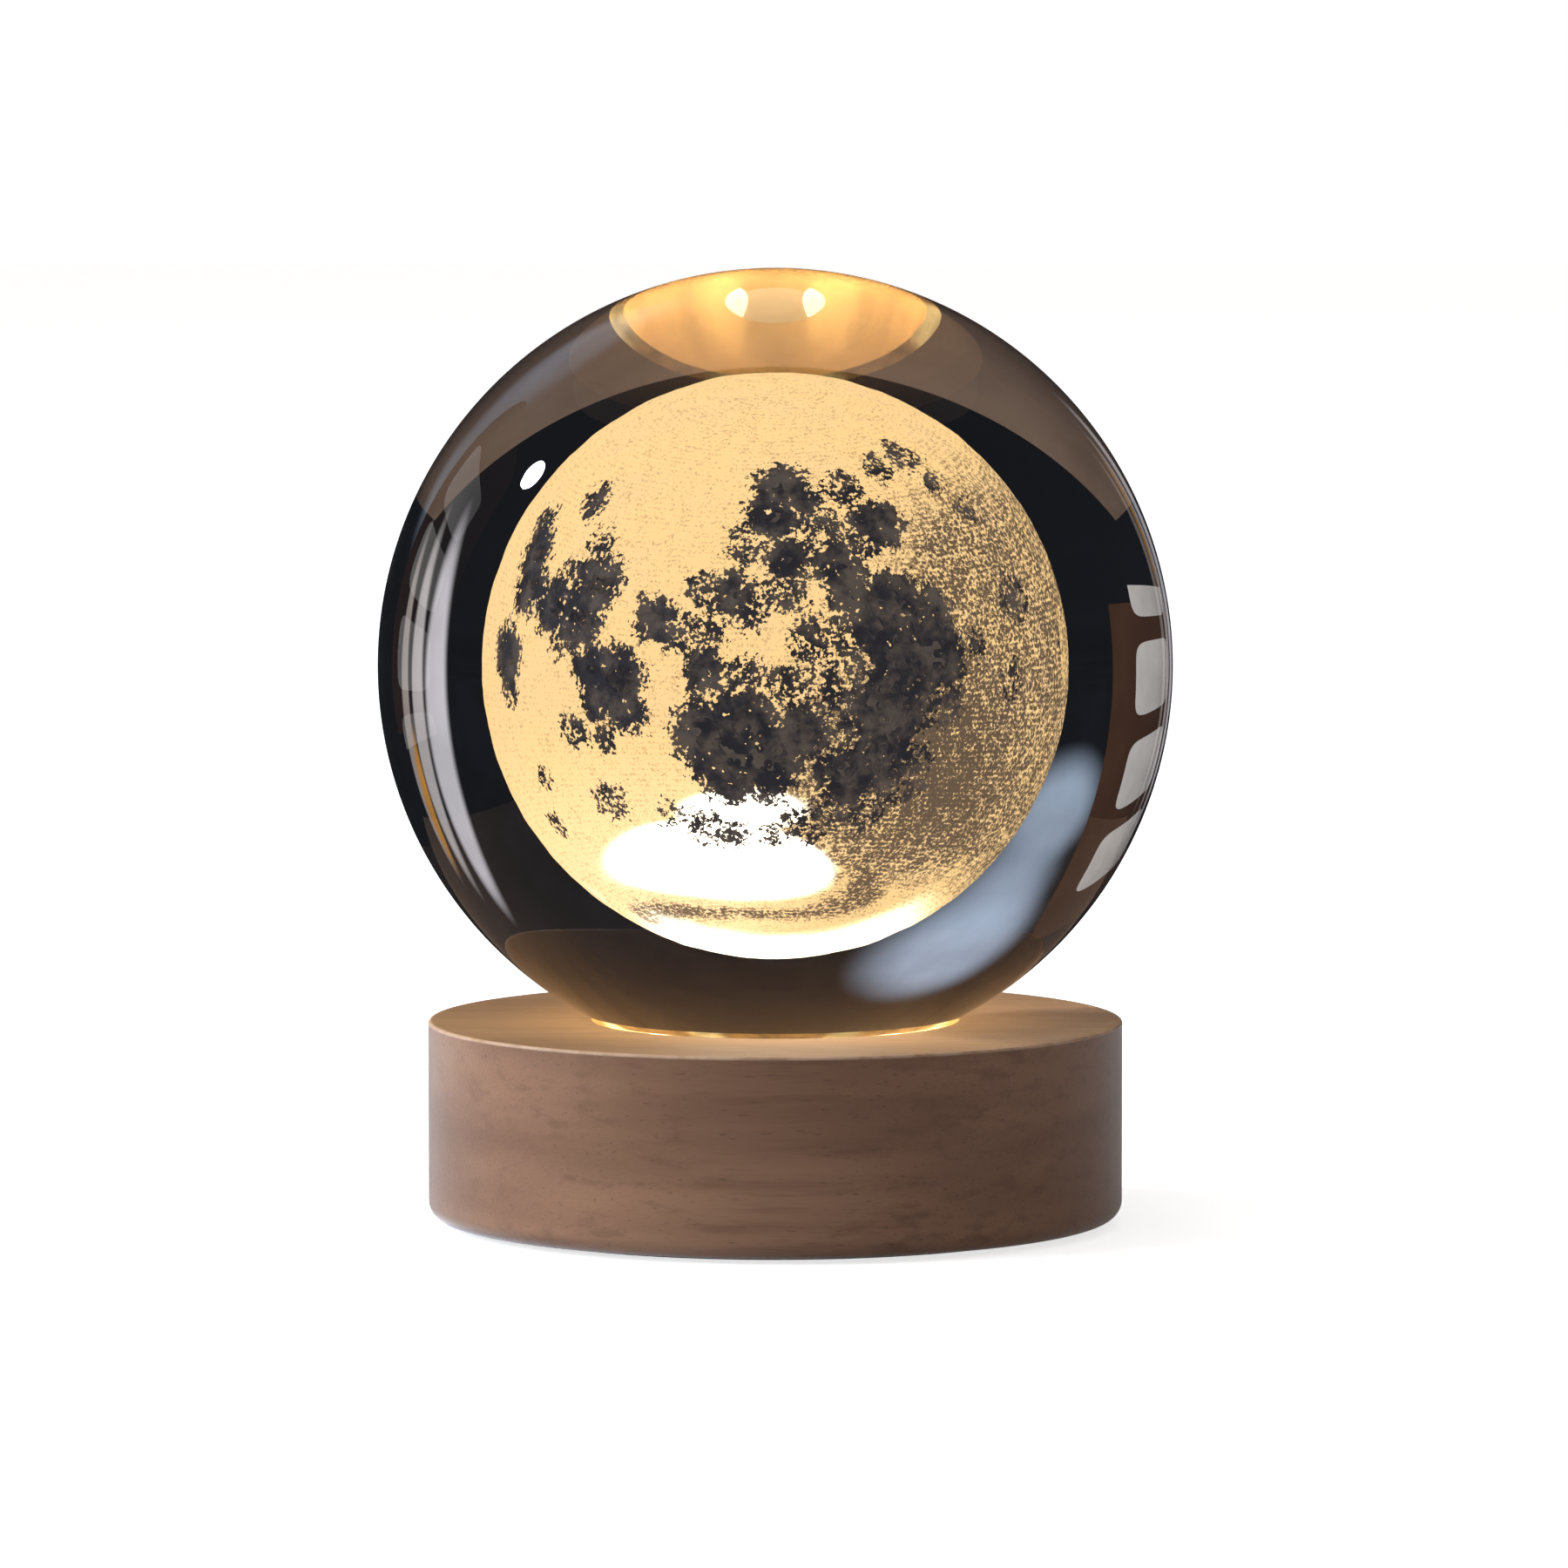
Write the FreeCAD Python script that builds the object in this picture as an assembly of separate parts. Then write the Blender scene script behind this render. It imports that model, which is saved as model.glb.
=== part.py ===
"""Moon lamp: a clear crystal ball with a moon engraved inside it, lying loose in
the lit well of a turned beech base.

Millimetres, +Z up. The origin is the centre of the underside of the foot pad.
The front of the lamp faces -Y, and the power inlet and the push button are at the
back, +Y.
"""
import FreeCAD, Part
import math
import os

os.makedirs("parts", exist_ok=True)

UP = FreeCAD.Vector(0, 0, 1)
BACK = FreeCAD.Vector(0, 1, 0)

# ---------------------------------------------------------------- driving sizes
# Crystal ball, and how it lies in the wood
BALL_RADIUS = 40.0
CONTACT_RADIUS = 18.0       # where the ball's surface crosses the top of the wood
SEAT_CLEARANCE = 0.25       # between the ball and the dished rim that carries it
WELL_RADIUS = 17.2          # open light well under the ball
BALL_BELT_SHARE = 0.6       # of the ball's height that its surface's belt covers

# Moon engraved in the middle of the ball
MOON_RADIUS = 19.5
ENGRAVING_DEPTH = 0.5
MOON_FACET_SPLITS = 6       # each edge of the starting icosahedron is cut in this many
MOON_TILT_X = 174.57        # turns about X, then Y, then Z, from north pole up and
MOON_TILT_Y = -24.32        # near side along +X, to the way it lies in the ball
MOON_TILT_Z = -110.02
REAL_MOON_RADIUS_KM = 1737.4

# Wooden base
BASE_RADIUS = 35.0
BASE_HEIGHT = 20.0
TOP_EDGE_BREAK = 0.3
BOTTOM_EDGE_ROUND = 1.8     # drawn as two flats
RIM_WIDTH = 4.0             # of the underside, round the recess for the cover
CHAMBER_RADIUS = 21.8
POCKET_SIDE_CLEARANCE = 0.5 # milled from the chamber to the back wall, round the board
POCKET_HEIGHT = 9.9         # above the bottom cover
BACK_WALL = 5.5             # thickness behind the pocket, on the lamp's middle plane

# Bottom cover and foot pad
PAD_THICKNESS = 1.5
PAD_PROUD = 0.5             # how far the pad stands below the wood
COVER_THICKNESS = 2.0
COVER_CLEARANCE = 0.2
POST_HEIGHT = 2.0
POST_RADIUS = 2.4

# Ring of LEDs on their board
LED_COUNT = 8
LED_RING_RADIUS = 13.0
LED_LENGTH = 3.5
LED_WIDTH = 2.8
LED_HEIGHT = 0.8
LED_LENS_MARGIN = 0.45
LED_LENS_DEPTH = 0.15
LED_TO_BALL = 0.6           # clear height between the LEDs and the bottom of the ball
LED_BOARD_RADIUS = 21.5
BOARD_THICKNESS = 1.6
RESISTOR_COUNT = 4
RESISTOR_RING_RADIUS = 9.0
RESISTOR_LENGTH = 3.2
RESISTOR_WIDTH = 1.6
RESISTOR_HEIGHT = 0.55
RESISTOR_CAP = 0.5
RESISTOR_CAP_PROUD = 0.1    # of the body between the caps

# Control board
CONTROL_BOARD_WIDTH = 26.0
CONTROL_BOARD_DEPTH = 16.0
CONTROL_BOARD_SETBACK = 0.2 # from the switch's face
CHIP_X = -5.4
CHIP_WIDTH = 4.9
CHIP_DEPTH = 3.9
CHIP_HEIGHT = 1.5
CHIP_LEG_COUNT = 4          # on each long side
CHIP_LEG_REACH = 1.0
CHIP_LEG_WIDTH = 0.6
CHIP_LEG_THICKNESS = 0.35

# Power inlet
SOCKET_X = -6.0
SOCKET_WIDTH = 8.94
SOCKET_HEIGHT = 3.26
SOCKET_LENGTH = 7.3
SOCKET_WALL = 0.3
TONGUE_WIDTH = 6.7
TONGUE_THICKNESS = 0.7
TONGUE_SHORT_OF_MOUTH = 0.6
SOCKET_BLOCK_LENGTH = 1.3
PORT_WIDTH = 13.0
PORT_HEIGHT = 7.6

# Push button and its switch
BUTTON_X = 8.0
SWITCH_WIDTH = 7.0
SWITCH_DEPTH = 7.0
SWITCH_HEIGHT = 4.6
PLUNGER_RADIUS = 1.5
PLUNGER_CLEARANCE = 0.1
PLUNGER_SEAT = 1.5          # length inside the switch when the button is out
BUTTON_TRAVEL = 1.2
BUTTON_RADIUS = 3.0
BUTTON_CLEARANCE = 0.2
BUTTON_FLANGE_RADIUS = 3.6
BUTTON_FLANGE_THICKNESS = 1.0
BUTTON_REST_GAP = 0.1       # from the flange to the back wall
BUTTON_PROUD = 0.6          # beyond the base's radius
BUTTON_EDGE_BREAK = 0.5

# Wires between the two boards
WIRE_RADIUS = 0.6
WIRE_SPREAD = 3.2
WIRE_FROM_EDGE = 5.1        # from the control board's front edge

# Screws
BOARD_SCREW_COUNT = 2
BOARD_SCREW_CIRCLE = 19.5
BOARD_SCREW_RADIUS = 1.0
BOARD_SCREW_LENGTH = 5.0
BOARD_SCREW_HEAD_RADIUS = 1.8
BOARD_SCREW_HEAD_HEIGHT = 1.2
COVER_SCREW_COUNT = 3
COVER_SCREW_RADIUS = 1.3
COVER_SCREW_LENGTH = 9.5
COVER_SCREW_HEAD_RADIUS = 2.6
COVER_SCREW_HEAD_HEIGHT = 1.3
CONTROL_SCREW_FROM_SIDE = 2.5
CONTROL_SCREW_FROM_EDGE = 2.6
CONTROL_SCREW_LENGTH = 3.4
SCREW_CLEARANCE = 0.15

# ---------------------------------------------------------------- derived places
COVER_RECESS_RADIUS = BASE_RADIUS - RIM_WIDTH
BACK_WALL_FACE = BASE_RADIUS - BACK_WALL
COVER_SCREW_CIRCLE = (CHAMBER_RADIUS + COVER_RECESS_RADIUS) / 2
WOOD_BOTTOM = PAD_PROUD
WOOD_TOP = WOOD_BOTTOM + BASE_HEIGHT
BALL_CENTRE_Z = WOOD_TOP + math.sqrt(BALL_RADIUS ** 2 - CONTACT_RADIUS ** 2)
BALL_CENTRE = FreeCAD.Vector(0, 0, BALL_CENTRE_Z)
BALL_BOTTOM = BALL_CENTRE_Z - BALL_RADIUS
COVER_TOP = PAD_THICKNESS + COVER_THICKNESS
LED_BOARD_TOP = BALL_BOTTOM - LED_TO_BALL - LED_HEIGHT
LED_BOARD_BOTTOM = LED_BOARD_TOP - BOARD_THICKNESS
CONTROL_BOTTOM = COVER_TOP + POST_HEIGHT
CONTROL_TOP = CONTROL_BOTTOM + BOARD_THICKNESS
SOCKET_Z = CONTROL_TOP + SOCKET_HEIGHT / 2
BUTTON_Z = CONTROL_TOP + SWITCH_HEIGHT / 2
FLANGE_BACK = BACK_WALL_FACE - BUTTON_REST_GAP
FLANGE_FRONT = FLANGE_BACK - BUTTON_FLANGE_THICKNESS
SWITCH_FACE = FLANGE_FRONT - BUTTON_TRAVEL - BUTTON_REST_GAP
CONTROL_FRONT = SWITCH_FACE - CONTROL_BOARD_SETBACK - CONTROL_BOARD_DEPTH
CONTROL_SCREW_Y = CONTROL_FRONT + CONTROL_SCREW_FROM_EDGE
WIRE_Y = CONTROL_FRONT + WIRE_FROM_EDGE
BUTTON_FACE = BASE_RADIUS + BUTTON_PROUD


def export(shape, name):
    """Write one sub-part as its own STEP file."""
    shape.exportStep("parts/" + name + ".step")


def cylinder(radius, bottom, top, x=0.0, y=0.0):
    """Upright cylinder between two heights."""
    return Part.makeCylinder(radius, top - bottom, FreeCAD.Vector(x, y, bottom), UP)


def block(width, depth, height, x, front, bottom):
    """Box centred on x, from its front face backwards and from its bottom up."""
    corner = FreeCAD.Vector(x - width / 2, front, bottom)
    return Part.makeBox(width, depth, height, corner)


def rod_to_back(radius, front, back, x, z):
    """Cylinder lying along Y."""
    return Part.makeCylinder(radius, back - front, FreeCAD.Vector(x, front, z), BACK)


def slot_to_back(width, height, front, back, x, z):
    """Bar with half-round sides lying along Y, such as a plug or its hole."""
    end_radius = height / 2
    half_straight = width / 2 - end_radius
    left = rod_to_back(end_radius, front, back, x - half_straight, z)
    right = rod_to_back(end_radius, front, back, x + half_straight, z)
    middle = block(2 * half_straight, back - front, height, x, front, z - end_radius)
    return middle.fuse([left, right]).removeSplitter()


def on_circle(radius, count, first_degrees):
    """Evenly spaced points of a circle round the lamp's axis, counted from +X."""
    points = []
    for number in range(count):
        angle = math.radians(first_degrees) + 2 * math.pi * number / count
        points.append((radius * math.cos(angle), radius * math.sin(angle)))
    return points


def board_screw_places():
    """Places of the LED board's screws, one at each side."""
    return on_circle(BOARD_SCREW_CIRCLE, BOARD_SCREW_COUNT, 0)


def cover_screw_places():
    """Places of the cover's screws, the first at the front."""
    return on_circle(COVER_SCREW_CIRCLE, COVER_SCREW_COUNT, -90)


def control_screw_places():
    """Places of the control board's two screws."""
    half = CONTROL_BOARD_WIDTH / 2 - CONTROL_SCREW_FROM_SIDE
    return [(-half, CONTROL_SCREW_Y), (half, CONTROL_SCREW_Y)]


# ---------------------------------------------------------------- engraved moon
def direction(latitude, longitude):
    """Unit vector of a place on the moon: north pole +Z, near side +X, east +Y."""
    lat = math.radians(latitude)
    lon = math.radians(longitude)
    across = math.cos(lat)
    return FreeCAD.Vector(across * math.cos(lon), across * math.sin(lon), math.sin(lat))


def sea(latitude, longitude, diameter_km):
    """A dark plain: its centre and the angle that its radius covers."""
    return direction(latitude, longitude), diameter_km / 2 / REAL_MOON_RADIUS_KM


def dark_plains():
    """The near side's large dark plains, which the engraving leaves clear."""
    crisium = sea(17.0, 59.1, 500)
    fecunditatis = sea(-5.0, 51.3, 620)
    nectaris = sea(-15.2, 34.6, 340)
    tranquillitatis = sea(8.5, 31.4, 800)
    serenitatis = sea(28.0, 17.5, 640)
    vaporum = sea(13.2, 4.1, 240)
    imbrium = sea(34.0, -16.0, 1100)
    insularum = sea(7.5, -28.0, 560)
    cognitum = sea(-10.5, -22.3, 420)
    nubium = sea(-21.3, -16.6, 560)
    humorum = sea(-24.4, -38.6, 420)
    procellarum_north = sea(32.0, -52.0, 760)
    procellarum_middle = sea(15.0, -52.0, 900)
    procellarum_south = sea(-3.0, -46.0, 620)
    east = [crisium, fecunditatis, nectaris, tranquillitatis, serenitatis]
    middle = [vaporum, imbrium, insularum, cognitum, nubium, humorum]
    west = [procellarum_north, procellarum_middle, procellarum_south]
    return east + middle + west


def icosahedron_faces():
    """The twenty faces of an icosahedron, each as three unit vectors."""
    golden = (1 + math.sqrt(5)) / 2
    corners = []
    for first in (-1, 1):
        for second in (-golden, golden):
            corners.append(FreeCAD.Vector(0, first, second).normalize())
            corners.append(FreeCAD.Vector(first, second, 0).normalize())
            corners.append(FreeCAD.Vector(second, 0, first).normalize())
    side = min(corners[0].distanceToPoint(other) for other in corners[1:])
    near = side * 1.01
    faces = []
    for i, a in enumerate(corners):
        for j, b in enumerate(corners[i + 1:], i + 1):
            for c in corners[j + 1:]:
                longest = max(a.distanceToPoint(b), b.distanceToPoint(c), c.distanceToPoint(a))
                if longest < near:
                    outward = (b - a).cross(c - a).dot(a) > 0
                    faces.append((a, b, c) if outward else (a, c, b))
    return faces


def split_face(face, splits):
    """Cut one spherical triangle into splits x splits smaller ones."""
    a, b, c = face

    def grid_point(i, j):
        k = splits - i - j
        point = a * k + b * i + c * j
        return point.normalize()

    small = []
    for i in range(splits):
        for j in range(splits - i):
            small.append((grid_point(i, j), grid_point(i + 1, j), grid_point(i, j + 1)))
            if i + j < splits - 1:
                small.append((grid_point(i + 1, j), grid_point(i + 1, j + 1), grid_point(i, j + 1)))
    return small


def point_key(point):
    """Whole numbers that tell one grid point from another."""
    return round(point.x * 1e6), round(point.y * 1e6), round(point.z * 1e6)


def face_edges(face):
    """The three directed edges of a facet, by point keys."""
    keys = [point_key(point) for point in face]
    return [(keys[k], keys[(k + 1) % 3]) for k in range(3)]


def is_dark(face, plains):
    """Whether the middle of a facet lies on a dark plain."""
    middle = (face[0] + face[1] + face[2]).normalize()
    return any(middle.getAngle(centre) < reach for centre, reach in plains)


def pinched_points(kept):
    """Points where engraved facets meet only corner to corner."""
    starts = {}
    edge_set = set()
    for face in kept:
        edge_set.update(face_edges(face))
    for edge in edge_set:
        if (edge[1], edge[0]) not in edge_set:
            starts[edge[0]] = starts.get(edge[0], 0) + 1
    return {point for point, count in starts.items() if count > 1}


def engraved_facets():
    """Facets of the globe that are engraved: all but the dark plains."""
    plains = dark_plains()
    globe = []
    for face in icosahedron_faces():
        globe.extend(split_face(face, MOON_FACET_SPLITS))
    kept = [face for face in globe if not is_dark(face, plains)]
    left_out = [face for face in globe if is_dark(face, plains)]
    pinched = pinched_points(kept)
    while pinched:
        filled = [face for face in left_out if pinched & {point_key(p) for p in face}]
        kept = kept + filled
        left_out = [face for face in left_out if face not in filled]
        pinched = pinched_points(kept)
    return kept


def polygon(points):
    """Flat face through the given points."""
    return Part.Face(Part.makePolygon(points + [points[0]]))


def engraved_moon():
    """Thin globe of flat facets round the ball's centre, open over the dark plains."""
    kept = engraved_facets()
    edges = set()
    for face in kept:
        edges.update(face_edges(face))
    outer = MOON_RADIUS
    inner = MOON_RADIUS - ENGRAVING_DEPTH
    faces = []
    for face in kept:
        faces.append(polygon([point * outer for point in face]))
        faces.append(polygon([point * inner for point in reversed(face)]))
        for k in range(3):
            start = face[k]
            end = face[(k + 1) % 3]
            if (point_key(end), point_key(start)) not in edges:
                faces.append(polygon([start * outer, start * inner, end * inner, end * outer]))
    skin = Part.makeShell(faces)
    skin.sewShape()
    globe = Part.makeCompound([Part.makeSolid(shell) for shell in skin.Shells])
    globe.rotate(FreeCAD.Vector(0, 0, 0), FreeCAD.Vector(1, 0, 0), MOON_TILT_X)
    globe.rotate(FreeCAD.Vector(0, 0, 0), FreeCAD.Vector(0, 1, 0), MOON_TILT_Y)
    globe.rotate(FreeCAD.Vector(0, 0, 0), FreeCAD.Vector(0, 0, 1), MOON_TILT_Z)
    globe.translate(BALL_CENTRE)
    return globe


def ball_slice(axis, bottom, top):
    """Part of the ball between two heights, as a sphere turned on the given axis."""
    sphere = Part.makeSphere(BALL_RADIUS, BALL_CENTRE, axis)
    return sphere.common(cylinder(2 * BALL_RADIUS, bottom, top))


def crystal_ball(moon):
    """Clear ball with the engraving's own space left out of the glass.

    A sphere's surface lines crowd together at its poles, so the ball is laid up
    from a belt with an upright axis and two caps with a level one.
    """
    cap_start = BALL_RADIUS * BALL_BELT_SHARE
    low = BALL_CENTRE_Z - cap_start
    high = BALL_CENTRE_Z + cap_start
    belt = ball_slice(UP, low, high)
    bottom = ball_slice(BACK, BALL_BOTTOM - 1, low)
    top = ball_slice(BACK, high, BALL_CENTRE_Z + BALL_RADIUS + 1)
    outside = belt.fuse([bottom, top]).Shells[0]
    hollows = [shell.reversed() for shell in moon.Shells]
    return Part.makeSolid(Part.makeCompound([outside] + hollows))


# ---------------------------------------------------------------- wooden base
def base_profile():
    """Half section of the turned wood: outside, dished seat, well and recesses."""
    seat_radius = BALL_RADIUS + SEAT_CLEARANCE
    seat_outer = math.sqrt(seat_radius ** 2 - (BALL_CENTRE_Z - WOOD_TOP) ** 2)
    seat_inner_z = BALL_CENTRE_Z - math.sqrt(seat_radius ** 2 - WELL_RADIUS ** 2)
    seat_middle = (seat_outer + WELL_RADIUS) / 2
    seat_middle_z = BALL_CENTRE_Z - math.sqrt(seat_radius ** 2 - seat_middle ** 2)
    round_middle = BOTTOM_EDGE_ROUND * (1 - math.sqrt(0.5))
    recess_bottom = FreeCAD.Vector(COVER_RECESS_RADIUS, 0, WOOD_BOTTOM)
    round_start = FreeCAD.Vector(BASE_RADIUS - BOTTOM_EDGE_ROUND, 0, WOOD_BOTTOM)
    round_turn = FreeCAD.Vector(BASE_RADIUS - round_middle, 0, WOOD_BOTTOM + round_middle)
    round_end = FreeCAD.Vector(BASE_RADIUS, 0, WOOD_BOTTOM + BOTTOM_EDGE_ROUND)
    break_low = FreeCAD.Vector(BASE_RADIUS, 0, WOOD_TOP - TOP_EDGE_BREAK)
    break_high = FreeCAD.Vector(BASE_RADIUS - TOP_EDGE_BREAK, 0, WOOD_TOP)
    seat_top = FreeCAD.Vector(seat_outer, 0, WOOD_TOP)
    seat_turn = FreeCAD.Vector(seat_middle, 0, seat_middle_z)
    seat_low = FreeCAD.Vector(WELL_RADIUS, 0, seat_inner_z)
    well_low = FreeCAD.Vector(WELL_RADIUS, 0, LED_BOARD_TOP)
    chamber_high = FreeCAD.Vector(CHAMBER_RADIUS, 0, LED_BOARD_TOP)
    chamber_low = FreeCAD.Vector(CHAMBER_RADIUS, 0, COVER_TOP)
    recess_top = FreeCAD.Vector(COVER_RECESS_RADIUS, 0, COVER_TOP)
    outside = [
        Part.makeLine(recess_bottom, round_start),
        Part.makeLine(round_start, round_turn),
        Part.makeLine(round_turn, round_end),
        Part.makeLine(round_end, break_low),
        Part.makeLine(break_low, break_high),
        Part.makeLine(break_high, seat_top),
    ]
    inside = [
        Part.Arc(seat_top, seat_turn, seat_low).toShape(),
        Part.makeLine(seat_low, well_low),
        Part.makeLine(well_low, chamber_high),
        Part.makeLine(chamber_high, chamber_low),
        Part.makeLine(chamber_low, recess_top),
        Part.makeLine(recess_top, recess_bottom),
    ]
    return Part.Face(Part.Wire(outside + inside))


def wooden_base():
    """Turned beech disc with its milled pocket, port, button hole and screw holes."""
    wood = base_profile().revolve(FreeCAD.Vector(0, 0, 0), UP, 360)
    pocket_width = CONTROL_BOARD_WIDTH + 2 * POCKET_SIDE_CLEARANCE
    beyond = BUTTON_FACE + 1
    cuts = [
        block(pocket_width, BACK_WALL_FACE, POCKET_HEIGHT, 0, 0, COVER_TOP),
        slot_to_back(PORT_WIDTH, PORT_HEIGHT, BACK_WALL_FACE - 1, beyond, SOCKET_X, SOCKET_Z),
        rod_to_back(BUTTON_RADIUS + BUTTON_CLEARANCE, BACK_WALL_FACE - 1, beyond, BUTTON_X, BUTTON_Z),
    ]
    board_screw_end = LED_BOARD_BOTTOM + BOARD_SCREW_LENGTH
    cover_screw_end = PAD_THICKNESS + COVER_SCREW_LENGTH
    for x, y in board_screw_places():
        cuts.append(cylinder(BOARD_SCREW_RADIUS, LED_BOARD_TOP, board_screw_end, x, y))
    for x, y in cover_screw_places():
        cuts.append(cylinder(COVER_SCREW_RADIUS, COVER_TOP, cover_screw_end, x, y))
    return wood.cut(cuts)


# ---------------------------------------------------------------- LEDs and their board
def led_board():
    """Round white board that closes the bottom of the light well."""
    board = cylinder(LED_BOARD_RADIUS, LED_BOARD_BOTTOM, LED_BOARD_TOP)
    hole = BOARD_SCREW_RADIUS + SCREW_CLEARANCE
    holes = [cylinder(hole, LED_BOARD_BOTTOM, LED_BOARD_TOP, x, y) for x, y in board_screw_places()]
    return board.cut(holes)


def led(degrees):
    """One surface-mounted LED: white case with a sunk lens, long side to the ring."""
    case = block(LED_WIDTH, LED_LENGTH, LED_HEIGHT, 0, -LED_LENGTH / 2, LED_BOARD_TOP)
    lens_width = LED_WIDTH - 2 * LED_LENS_MARGIN
    lens_length = LED_LENGTH - 2 * LED_LENS_MARGIN
    lens_floor = LED_BOARD_TOP + LED_HEIGHT - LED_LENS_DEPTH
    case = case.cut(block(lens_width, lens_length, LED_LENS_DEPTH, 0, -lens_length / 2, lens_floor))
    case.translate(FreeCAD.Vector(LED_RING_RADIUS, 0, 0))
    case.rotate(FreeCAD.Vector(0, 0, 0), UP, degrees)
    return case


def resistor(degrees):
    """One chip resistor with its two end caps, under the LED board."""
    bottom = LED_BOARD_BOTTOM - RESISTOR_HEIGHT
    body_length = RESISTOR_LENGTH - 2 * RESISTOR_CAP
    body_width = RESISTOR_WIDTH - 2 * RESISTOR_CAP_PROUD
    thin = RESISTOR_HEIGHT - RESISTOR_CAP_PROUD
    body = block(body_width, body_length, thin, 0, -body_length / 2, LED_BOARD_BOTTOM - thin)
    for front in (-RESISTOR_LENGTH / 2, RESISTOR_LENGTH / 2 - RESISTOR_CAP):
        body = body.fuse(block(RESISTOR_WIDTH, RESISTOR_CAP, RESISTOR_HEIGHT, 0, front, bottom))
    body.translate(FreeCAD.Vector(RESISTOR_RING_RADIUS, 0, 0))
    body.rotate(FreeCAD.Vector(0, 0, 0), UP, degrees)
    return body


# ---------------------------------------------------------------- control board
def control_board():
    """Small board on two posts of the cover, held by two screws."""
    board = block(CONTROL_BOARD_WIDTH, CONTROL_BOARD_DEPTH, BOARD_THICKNESS,
                  0, CONTROL_FRONT, CONTROL_BOTTOM)
    hole = BOARD_SCREW_RADIUS + SCREW_CLEARANCE
    holes = [cylinder(hole, CONTROL_BOTTOM, CONTROL_TOP, x, y) for x, y in control_screw_places()]
    return board.cut(holes)


def control_chip():
    """Driver chip with its two rows of legs."""
    middle = WIRE_Y
    chip = block(CHIP_WIDTH, CHIP_DEPTH, CHIP_HEIGHT, CHIP_X, middle - CHIP_DEPTH / 2, CONTROL_TOP)
    reach = CHIP_DEPTH + 2 * CHIP_LEG_REACH
    for k in range(CHIP_LEG_COUNT):
        x = CHIP_X + CHIP_WIDTH * ((k + 0.5) / CHIP_LEG_COUNT - 0.5)
        leg = block(CHIP_LEG_WIDTH, reach, CHIP_LEG_THICKNESS, x, middle - reach / 2, CONTROL_TOP)
        chip = chip.fuse(leg)
    return chip


def socket_shell():
    """Drawn steel shell of the power inlet, open to the back."""
    front = BACK_WALL_FACE - SOCKET_LENGTH
    outside = slot_to_back(SOCKET_WIDTH, SOCKET_HEIGHT, front, BACK_WALL_FACE, SOCKET_X, SOCKET_Z)
    inside = slot_to_back(SOCKET_WIDTH - 2 * SOCKET_WALL, SOCKET_HEIGHT - 2 * SOCKET_WALL,
                          front, BACK_WALL_FACE, SOCKET_X, SOCKET_Z)
    return outside.cut(inside)


def socket_tongue():
    """Plastic block at the inner end of the shell, with the contact tongue."""
    front = BACK_WALL_FACE - SOCKET_LENGTH
    plug = slot_to_back(SOCKET_WIDTH - 2 * SOCKET_WALL, SOCKET_HEIGHT - 2 * SOCKET_WALL,
                        front, front + SOCKET_BLOCK_LENGTH, SOCKET_X, SOCKET_Z)
    length = SOCKET_LENGTH - TONGUE_SHORT_OF_MOUTH
    tongue = block(TONGUE_WIDTH, length, TONGUE_THICKNESS, SOCKET_X, front, SOCKET_Z - TONGUE_THICKNESS / 2)
    return plug.fuse(tongue).removeSplitter()


# ---------------------------------------------------------------- switch and button
def switch_body():
    """Case of the push switch, with the bore that its plunger slides in."""
    front = SWITCH_FACE - SWITCH_DEPTH
    case = block(SWITCH_WIDTH, SWITCH_DEPTH, SWITCH_HEIGHT, BUTTON_X, front, CONTROL_TOP)
    bore_front = SWITCH_FACE - PLUNGER_SEAT - BUTTON_TRAVEL - BUTTON_REST_GAP
    bore = rod_to_back(PLUNGER_RADIUS + PLUNGER_CLEARANCE, bore_front, SWITCH_FACE, BUTTON_X, BUTTON_Z)
    return case.cut(bore)


def switch_plunger():
    """Round plunger from inside the switch to the button's flange."""
    return rod_to_back(PLUNGER_RADIUS, SWITCH_FACE - PLUNGER_SEAT, FLANGE_FRONT, BUTTON_X, BUTTON_Z)


def button_cap():
    """Button that shows at the back, with the flange that keeps it in the wood."""
    half_section = [
        FreeCAD.Vector(0, FLANGE_FRONT, 0),
        FreeCAD.Vector(BUTTON_FLANGE_RADIUS, FLANGE_FRONT, 0),
        FreeCAD.Vector(BUTTON_FLANGE_RADIUS, FLANGE_BACK, 0),
        FreeCAD.Vector(BUTTON_RADIUS, FLANGE_BACK, 0),
        FreeCAD.Vector(BUTTON_RADIUS, BUTTON_FACE - BUTTON_EDGE_BREAK, 0),
        FreeCAD.Vector(BUTTON_RADIUS - BUTTON_EDGE_BREAK, BUTTON_FACE, 0),
        FreeCAD.Vector(0, BUTTON_FACE, 0),
    ]
    cap = polygon(half_section).revolve(FreeCAD.Vector(0, 0, 0), BACK, 360)
    cap.translate(FreeCAD.Vector(BUTTON_X, 0, BUTTON_Z))
    return cap


# ---------------------------------------------------------------- wires
def wire(x):
    """Stiff lead that runs straight from the LED board to the control board."""
    return cylinder(WIRE_RADIUS, CONTROL_TOP, LED_BOARD_BOTTOM, x, WIRE_Y)


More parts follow.
